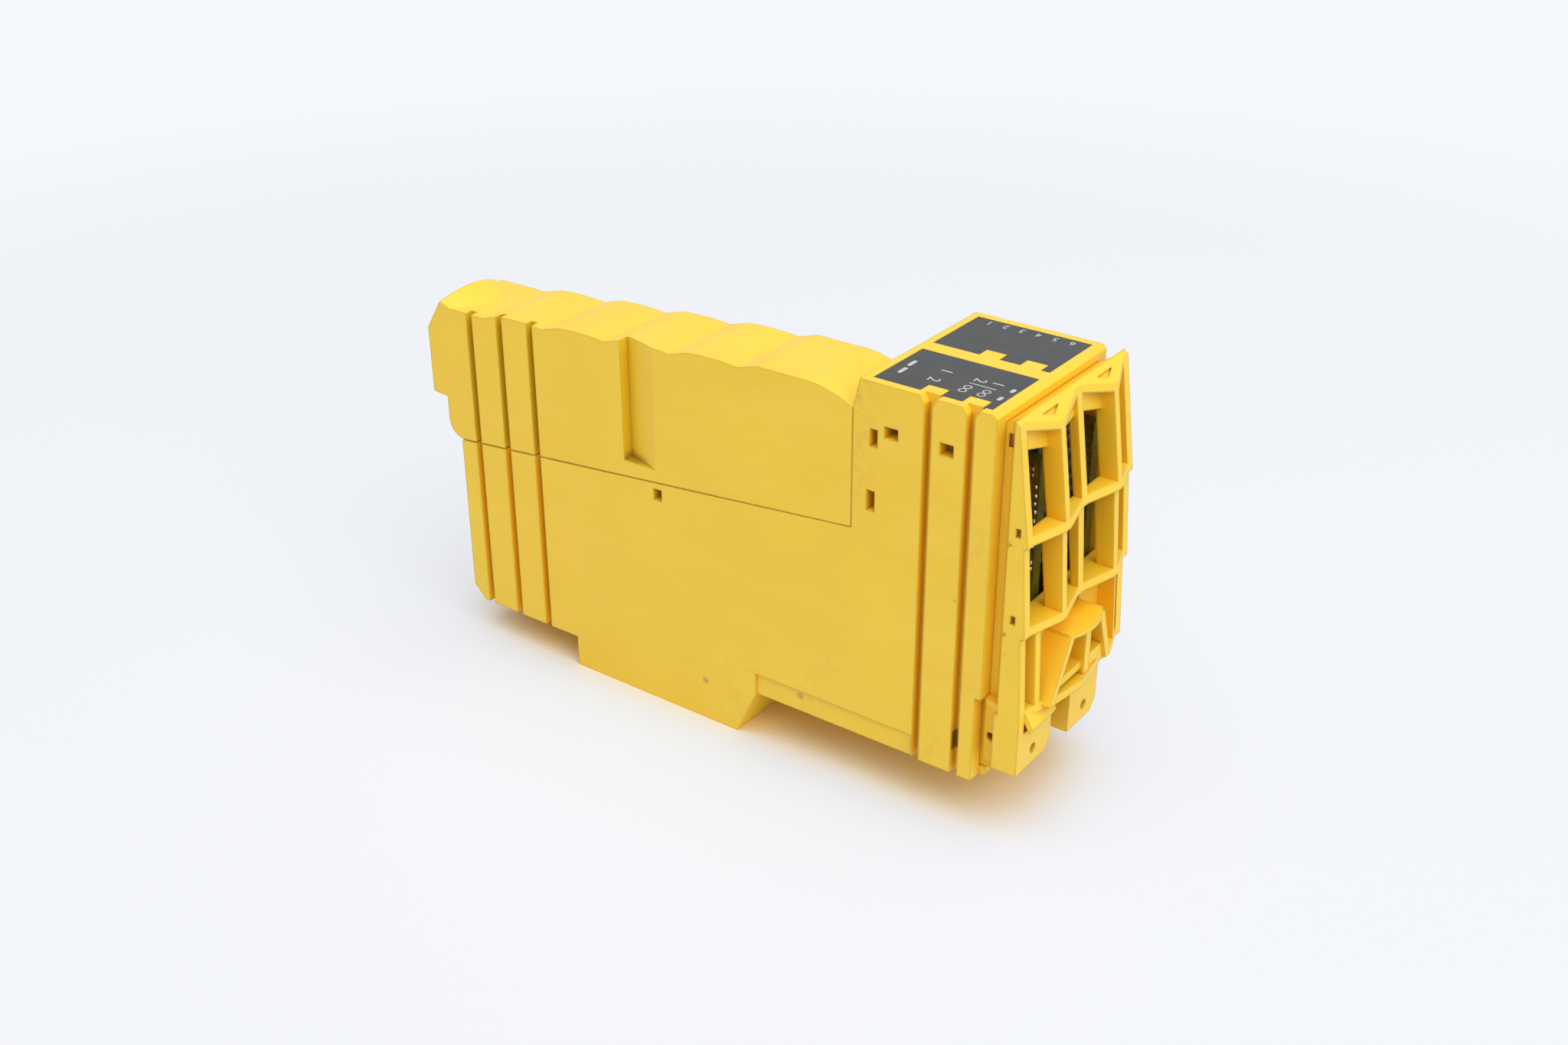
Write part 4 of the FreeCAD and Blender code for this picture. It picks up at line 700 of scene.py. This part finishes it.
def makeMetal(name):
    s = metals[name]
    f = metalFinish
    material, tree, shader, where = newMaterial(name)
    brushed = noise(tree, where, *f["brush"], s["stretch"])
    colour = blend(tree, patches(tree, where, *f["stain"]), s["colour"], s["dull"])
    tree.links.new(colour, shader.inputs["Base Color"])
    shader.inputs["Metallic"].default_value = 1.0
    roughen(tree, shader, brushed, s["rough"])
    bumps(tree, shader, [(brushed, *f["brushBump"])], f["edgeRadius"])
    return material


solderMaterial = makeMetal("brightSolder")
paint(solderMaterial, "solder_joints")
paint(makeMetal("platedContact"), "bus_pins_near", "bus_pins_far", "terminal_blades")
paint(makeMetal("copperStrip"), "earth_strip")
paint(makeMetal("capCan"), "supply_capacitors")
print("metals painted")


# Board edge behind the lattice: bright solder domes and small ceramic chips

boardEdge = {
    # along and up in millimetres, on the near board's outer face
    "domes": [(40.57, 42.9), (40.62, 41.8), (40.57, 40.8), (40.66, 39.8), (40.66, 35.5)],
    "domeRadius": 0.31 * mm,
    "domeSunk": 0.06 * mm,
    "domeFacets": (20, 12),  # around and from pole to pole
    "chips": [(39.85, 45.1), (39.85, 44.4), (40.35, 38.8), (40.35, 33.5), (40.35, 32.7)],
    "chipSize": (1.0 * mm, 0.42 * mm, 0.48 * mm),
    "chipEnd": 0.22 * mm,
    "chipSoft": 0.05 * mm,
    "chipSteps": 2,
}
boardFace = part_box("circuit_board_near")[0].y


def copyPiece(piece, along, up):
    # a copy with its own mesh, moved along the board
    bpy.ops.object.select_all(action="DESELECT")
    piece.select_set(True)
    bpy.context.view_layer.objects.active = piece
    bpy.ops.object.duplicate()
    bpy.ops.transform.translate(value=(along, 0, up))
    return bpy.context.object


def repeatPiece(make, places):
    # the first is modelled, the others are its copies
    firstAlong, firstUp = places[0]
    first = make(firstAlong, firstUp)
    copies = [copyPiece(first, (along - firstAlong) * mm, (up - firstUp) * mm) for along, up in places[1:]]
    return [first] + copies


def makeDome(along, up):
    s = boardEdge
    around, tall = s["domeFacets"]
    bpy.ops.object.select_all(action="DESELECT")
    bpy.ops.mesh.primitive_uv_sphere_add(segments=around, ring_count=tall, radius=s["domeRadius"],
                                         location=(along * mm, boardFace + s["domeSunk"], up * mm))
    bpy.ops.object.transform_apply(location=True, rotation=True, scale=True)
    bpy.ops.object.mode_set(mode="EDIT")
    bpy.ops.mesh.select_all(action="SELECT")
    bpy.ops.mesh.bisect(plane_co=(0, boardFace, 0), plane_no=(0, 1, 0), clear_outer=True, use_fill=True)
    bpy.ops.object.mode_set(mode="OBJECT")
    bpy.ops.object.shade_smooth_by_angle(angle=sharpAngle)
    return bpy.context.object


def makeChip(along, up):
    s = boardEdge
    wide, deep, tall = s["chipSize"]
    bpy.ops.object.select_all(action="DESELECT")
    bpy.ops.mesh.primitive_cube_add(size=1, location=(along * mm, boardFace - deep / 2, up * mm))
    piece = bpy.context.object
    piece.scale = (wide, deep, tall)
    bpy.ops.object.transform_apply(location=True, rotation=True, scale=True)
    bpy.ops.object.mode_set(mode="EDIT")
    bpy.ops.mesh.select_all(action="SELECT")
    bpy.ops.mesh.bevel(offset=s["chipSoft"], segments=s["chipSteps"], affect="EDGES")
    for side in (-1, 1):  # split off the tinned ends
        bpy.ops.mesh.select_all(action="SELECT")
        cut = along * mm + side * (wide / 2 - s["chipEnd"])
        bpy.ops.mesh.bisect(plane_co=(cut, 0, 0), plane_no=(1, 0, 0))
    bpy.ops.object.mode_set(mode="OBJECT")
    bpy.ops.object.shade_smooth_by_angle(angle=sharpAngle)
    return piece


def tinEnds(piece, middle):
    # faces past the cuts take the solder's finish
    s = boardEdge
    piece.data.materials.append(solderMaterial)
    for face in piece.data.polygons:
        if abs(face.center.x - middle) > s["chipSize"][0] / 2 - s["chipEnd"]:
            face.material_index = 1


ceramicMaterial = makeDark("ceramicChip")
for i, piece in enumerate(repeatPiece(makeDome, boardEdge["domes"])):
    settle(piece, "solderDome%d" % i, solderMaterial)
for i, piece in enumerate(repeatPiece(makeChip, boardEdge["chips"])):
    settle(piece, "ceramicChip%d" % i, ceramicMaterial)
    tinEnds(piece, boardEdge["chips"][i][0] * mm)
print("board edge filled")


# Board-to-board connector: a shroud with soft edges and slats across its open face

boardLink = {
    "edgeSoft": 0.225 * mm,
    "edgeSteps": 3,
    "rim": 0.8 * mm,
    "recess": 0.9 * mm,
    "slats": 8,
    "slatDeep": 0.99 * mm,
    "slatTall": 0.75 * mm,
    "slatForward": 0.25 * mm,  # of the recess's floor
    "slatIntoRim": 0.1 * mm,
    "slatSoft": 0.12 * mm,
}


def pickFaces(piece, wanted):
    # leaves only the wanted faces selected for the next edit
    bpy.ops.object.mode_set(mode="EDIT")
    bpy.ops.mesh.select_mode(type="FACE")
    bpy.ops.mesh.select_all(action="DESELECT")
    bpy.ops.object.mode_set(mode="OBJECT")
    for face in piece.data.polygons:
        face.select = wanted(face)


def soften(piece, reach):
    # round the sharp edges of the active piece
    edges = piece.modifiers.new("softEdges", "BEVEL")
    edges.width = reach
    edges.segments = boardLink["edgeSteps"]
    edges.limit_method = "ANGLE"
    edges.angle_limit = sharpAngle
    bpy.ops.object.modifier_apply(modifier=edges.name)


def makeBoardLink():
    s = boardLink
    low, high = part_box("board_link")
    size, middle = high - low, (high + low) / 2
    bpy.ops.object.select_all(action="DESELECT")
    bpy.ops.mesh.primitive_cube_add(size=1, location=middle)
    piece = bpy.context.object
    piece.scale = size
    bpy.ops.object.transform_apply(location=True, rotation=True, scale=True)
    pickFaces(piece, lambda face: face.normal.x > 0.9)  # the face that looks along +X is the open one
    bpy.ops.object.mode_set(mode="EDIT")
    bpy.ops.mesh.inset(thickness=s["rim"])
    bpy.ops.mesh.extrude_region_move(TRANSFORM_OT_translate={"value": (-s["recess"], 0, 0)})
    bpy.ops.object.mode_set(mode="OBJECT")
    soften(piece, s["edgeSoft"])
    # one slat, repeated up the recess
    pitch = (size.z - 2 * s["rim"]) / s["slats"]
    slatPlace = (high.x - s["recess"] + s["slatForward"], middle.y, low.z + s["rim"] + pitch / 2)
    bpy.ops.object.select_all(action="DESELECT")
    bpy.ops.mesh.primitive_cube_add(size=1, location=slatPlace)
    slat = bpy.context.object
    slat.scale = (s["slatDeep"], size.y - 2 * s["rim"] + s["slatIntoRim"], s["slatTall"])
    bpy.ops.object.transform_apply(location=True, rotation=True, scale=True)
    soften(slat, s["slatSoft"])
    row = slat.modifiers.new("row", "ARRAY")
    row.count = s["slats"]
    row.use_relative_offset = False
    row.use_constant_offset = True
    row.constant_offset_displace = (0, 0, pitch)
    bpy.ops.object.modifier_apply(modifier=row.name)
    piece.select_set(True)
    bpy.context.view_layer.objects.active = piece
    bpy.ops.object.join()
    bpy.ops.object.shade_smooth_by_angle(angle=sharpAngle)
    settle(piece, "boardLinkShroud", connectorMaterial)
    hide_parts("board_link")


makeBoardLink()
print("board connector made")


# Clear light guides and milky status lights

clearGuide = {
    "tint": (0.80, 0.70, 0.46, 1),
    "deepTint": (0.66, 0.55, 0.32, 1),
    "flow": (500, 3, 0.5, (0.4, 1, 1)),
    "flowSpan": (0.35, 0.7),
    "rough": (0.10, 0.24),
    "clear": 0.85,
    "ior": 1.49,
    "flowBump": (0.12, 0.02 * mm),
}
statusLens = {
    "colour": (0.72, 0.76, 0.55, 1),
    "edge": (0.55, 0.6, 0.38, 1),
    "cloud": (1800, 3, 0.5),
    "cloudSpan": (0.35, 0.7),
    "rough": (0.18, 0.34),
    "cloudBump": (0.1, 0.01 * mm),
    "edgeRadius": 0.08 * mm,
}


def makeGuide():
    s = clearGuide
    material, tree, shader, where = newMaterial("clearGuide")
    flow = noise(tree, where, *s["flow"])
    colour = blend(tree, remap(tree, flow, *s["flowSpan"], 0, 1), s["tint"], s["deepTint"])
    tree.links.new(colour, shader.inputs["Base Color"])
    roughen(tree, shader, flow, s["rough"])
    shader.inputs["Transmission Weight"].default_value = s["clear"]
    shader.inputs["IOR"].default_value = s["ior"]
    bumps(tree, shader, [(flow, *s["flowBump"])])
    return material


def makeLens():
    s = statusLens
    material, tree, shader, where = newMaterial("statusLens")
    cloud = noise(tree, where, *s["cloud"])
    colour = blend(tree, remap(tree, cloud, *s["cloudSpan"], 0, 1), s["colour"], s["edge"])
    tree.links.new(colour, shader.inputs["Base Color"])
    roughen(tree, shader, cloud, s["rough"])
    bumps(tree, shader, [(cloud, *s["cloudBump"])], s["edgeRadius"])
    return material


paint(makeGuide(), "light_guide_near", "light_guide_far")
paint(makeLens(), "status_leds_near", "status_leds_far")
print("light guides and status lights painted")


# Pale floor and plain studio light

studio = {
    "floorColour": (0.760, 0.772, 0.803, 1),
    "paperColour": (0.745, 0.757, 0.788, 1),
    "paper": (900, 3, 0.5, 0.3, 0.7, 0, 0.15),
    # painted light and shade on the floor near the object and beneath it: reach, closed and open levels,
    # its own faces only
    "coolColour": (0.741, 0.811, 0.945, 1),  # evens out the yellow that the object throws on the floor
    "coolReach": (70 * mm, 0.55, 0.90, False),
    # painted warm shadow beneath the object
    "warmShadowColour": (0.94, 0.735, 0.36, 1),
    "warmShadowReach": (13 * mm, 0.25, 0.85, False),
    "warmShadowEdge": (-1 * mm, 3 * mm),  # the painted shadow fades here, from the object's sides
    "warmShadowOutside": 0.2,
    "roughness": 0.75,
    "specular": 0.15,
    "floorSize": 8.0,
    "worldColour": (0.97, 0.985, 1.0, 1),
    "worldLevel": 0.36,
    "backdrop": (0.91, 0.935, 0.98, 1),
    "fade": (0.10, 0.32),  # the floor turns into the backdrop between these distances
    "nearShare": 0.5,  # share of the backdrop in the open floor beside the object
    "closedSpan": (0, 0.5),  # that share ends where the floor beneath the object closes in
    # name, place, aim, size, watts
    "lamps": [
        ("topBox", (0.40, -0.24, 1.45), (0, 0, 0), 2.2, 28.5),
        ("rightBox", (1.1, -0.45, 0.75), (0, 0, 0.02), 0.9, 4.2),
    ],
}


def shownRays(tree):
    # rays that see the background itself or its reflection
    rays = addNode(tree, "ShaderNodeLightPath").outputs
    mirrored = maths(tree, "MAXIMUM", rays["Is Glossy Ray"], rays["Is Transmission Ray"])
    return maths(tree, "MAXIMUM", rays["Is Camera Ray"], mirrored)


def makeFloor():
    s = studio
    material, tree, shader, where = newMaterial("paleFloor")
    colour = blend(tree, patches(tree, where, *s["paper"]), s["floorColour"], s["paperColour"])
    # a painted cool tint near the object, then a painted warm shadow beneath it
    colour = blend(tree, hollowMask(tree, *s["coolReach"]), colour, s["coolColour"])
    across = maths(tree, "ABSOLUTE", axesOf(tree, where)["Y"])
    fadeStart, fadeEnd = (cadHigh.y + edge for edge in s["warmShadowEdge"])
    shadowFootprint = remap(tree, across, fadeStart, fadeEnd, 1, s["warmShadowOutside"])
    closed = hollowMask(tree, *s["warmShadowReach"])
    colour = blend(tree, times(tree, closed, shadowFootprint), colour, s["warmShadowColour"])
    tree.links.new(colour, shader.inputs["Base Color"])
    shader.inputs["Roughness"].default_value = s["roughness"]
    shader.inputs["Specular IOR Level"].default_value = s["specular"]
    # far from the object the floor shows as the plain backdrop, so that no horizon is seen
    away = addNode(tree, "ShaderNodeVectorMath", {0: where}, operation="LENGTH").outputs["Value"]
    share = maths(tree, "MAXIMUM", remap(tree, away, *s["fade"], 0, 1),
                  remap(tree, closed, *s["closedSpan"], s["nearShare"], 0))
    shown = times(tree, share, shownRays(tree))
    plain = addNode(tree, "ShaderNodeEmission", {"Color": s["backdrop"], "Strength": 1.0})
    mixed = addNode(tree, "ShaderNodeMixShader", {0: shown, 1: shader.outputs[0], 2: plain.outputs[0]})
    tree.links.new(mixed.outputs[0], tree.nodes["Material Output"].inputs["Surface"])
    return material


bpy.ops.object.select_all(action="DESELECT")
bpy.ops.mesh.primitive_plane_add(size=studio["floorSize"], location=(0, 0, 0))
floor = bpy.context.object
floor.name = "paleFloor"
floor.data.materials.append(makeFloor())

for name, place, aim, size, watts in studio["lamps"]:
    bpy.ops.object.light_add(type="AREA", location=place)
    lamp = bpy.context.object
    lamp.name = name
    lamp.data.size = size
    lamp.data.energy = watts
    lamp.rotation_euler = (Vector(aim) - Vector(place)).to_track_quat("-Z", "Y").to_euler()

world = bpy.data.worlds.new("studioAir")
bpy.context.scene.world = world
world.use_nodes = True
air = world.node_tree
ambient = air.nodes["Background"]
ambient.inputs["Color"].default_value = studio["worldColour"]
ambient.inputs["Strength"].default_value = studio["worldLevel"]
seen = addNode(air, "ShaderNodeBackground", {"Color": studio["backdrop"], "Strength": 1.0})
mixed = addNode(air, "ShaderNodeMixShader", {0: shownRays(air), 1: ambient.outputs[0], 2: seen.outputs[0]})
air.links.new(mixed.outputs[0], air.nodes["World Output"].inputs["Surface"])
bpy.context.scene.view_settings.view_transform = "Standard"
print("floor and light ready")


# Camera at the photograph's angle; the image is 2048 by 1365

photoView = {
    "place": (124.72, -167.9, 133.29),  # in millimetres
    "along": (-0.522, 0.716, -0.464),
    "focal": 2385.573,  # in pixels of that image
    "imageWide": 2048,
    "sensor": 36.0,
    "clip": (0.005, 20),
}
lens = bpy.data.cameras.new("photoCamera")
camera = bpy.data.objects.new("photoCamera", lens)
bpy.context.scene.collection.objects.link(camera)
camera.location = Vector(photoView["place"]) * mm
camera.rotation_euler = Vector(photoView["along"]).to_track_quat("-Z", "Y").to_euler()
lens.sensor_fit = "HORIZONTAL"
lens.sensor_width = photoView["sensor"]
lens.lens = photoView["focal"] / photoView["imageWide"] * photoView["sensor"]
lens.clip_start, lens.clip_end = photoView["clip"]
bpy.context.scene.camera = camera
print("camera ready")
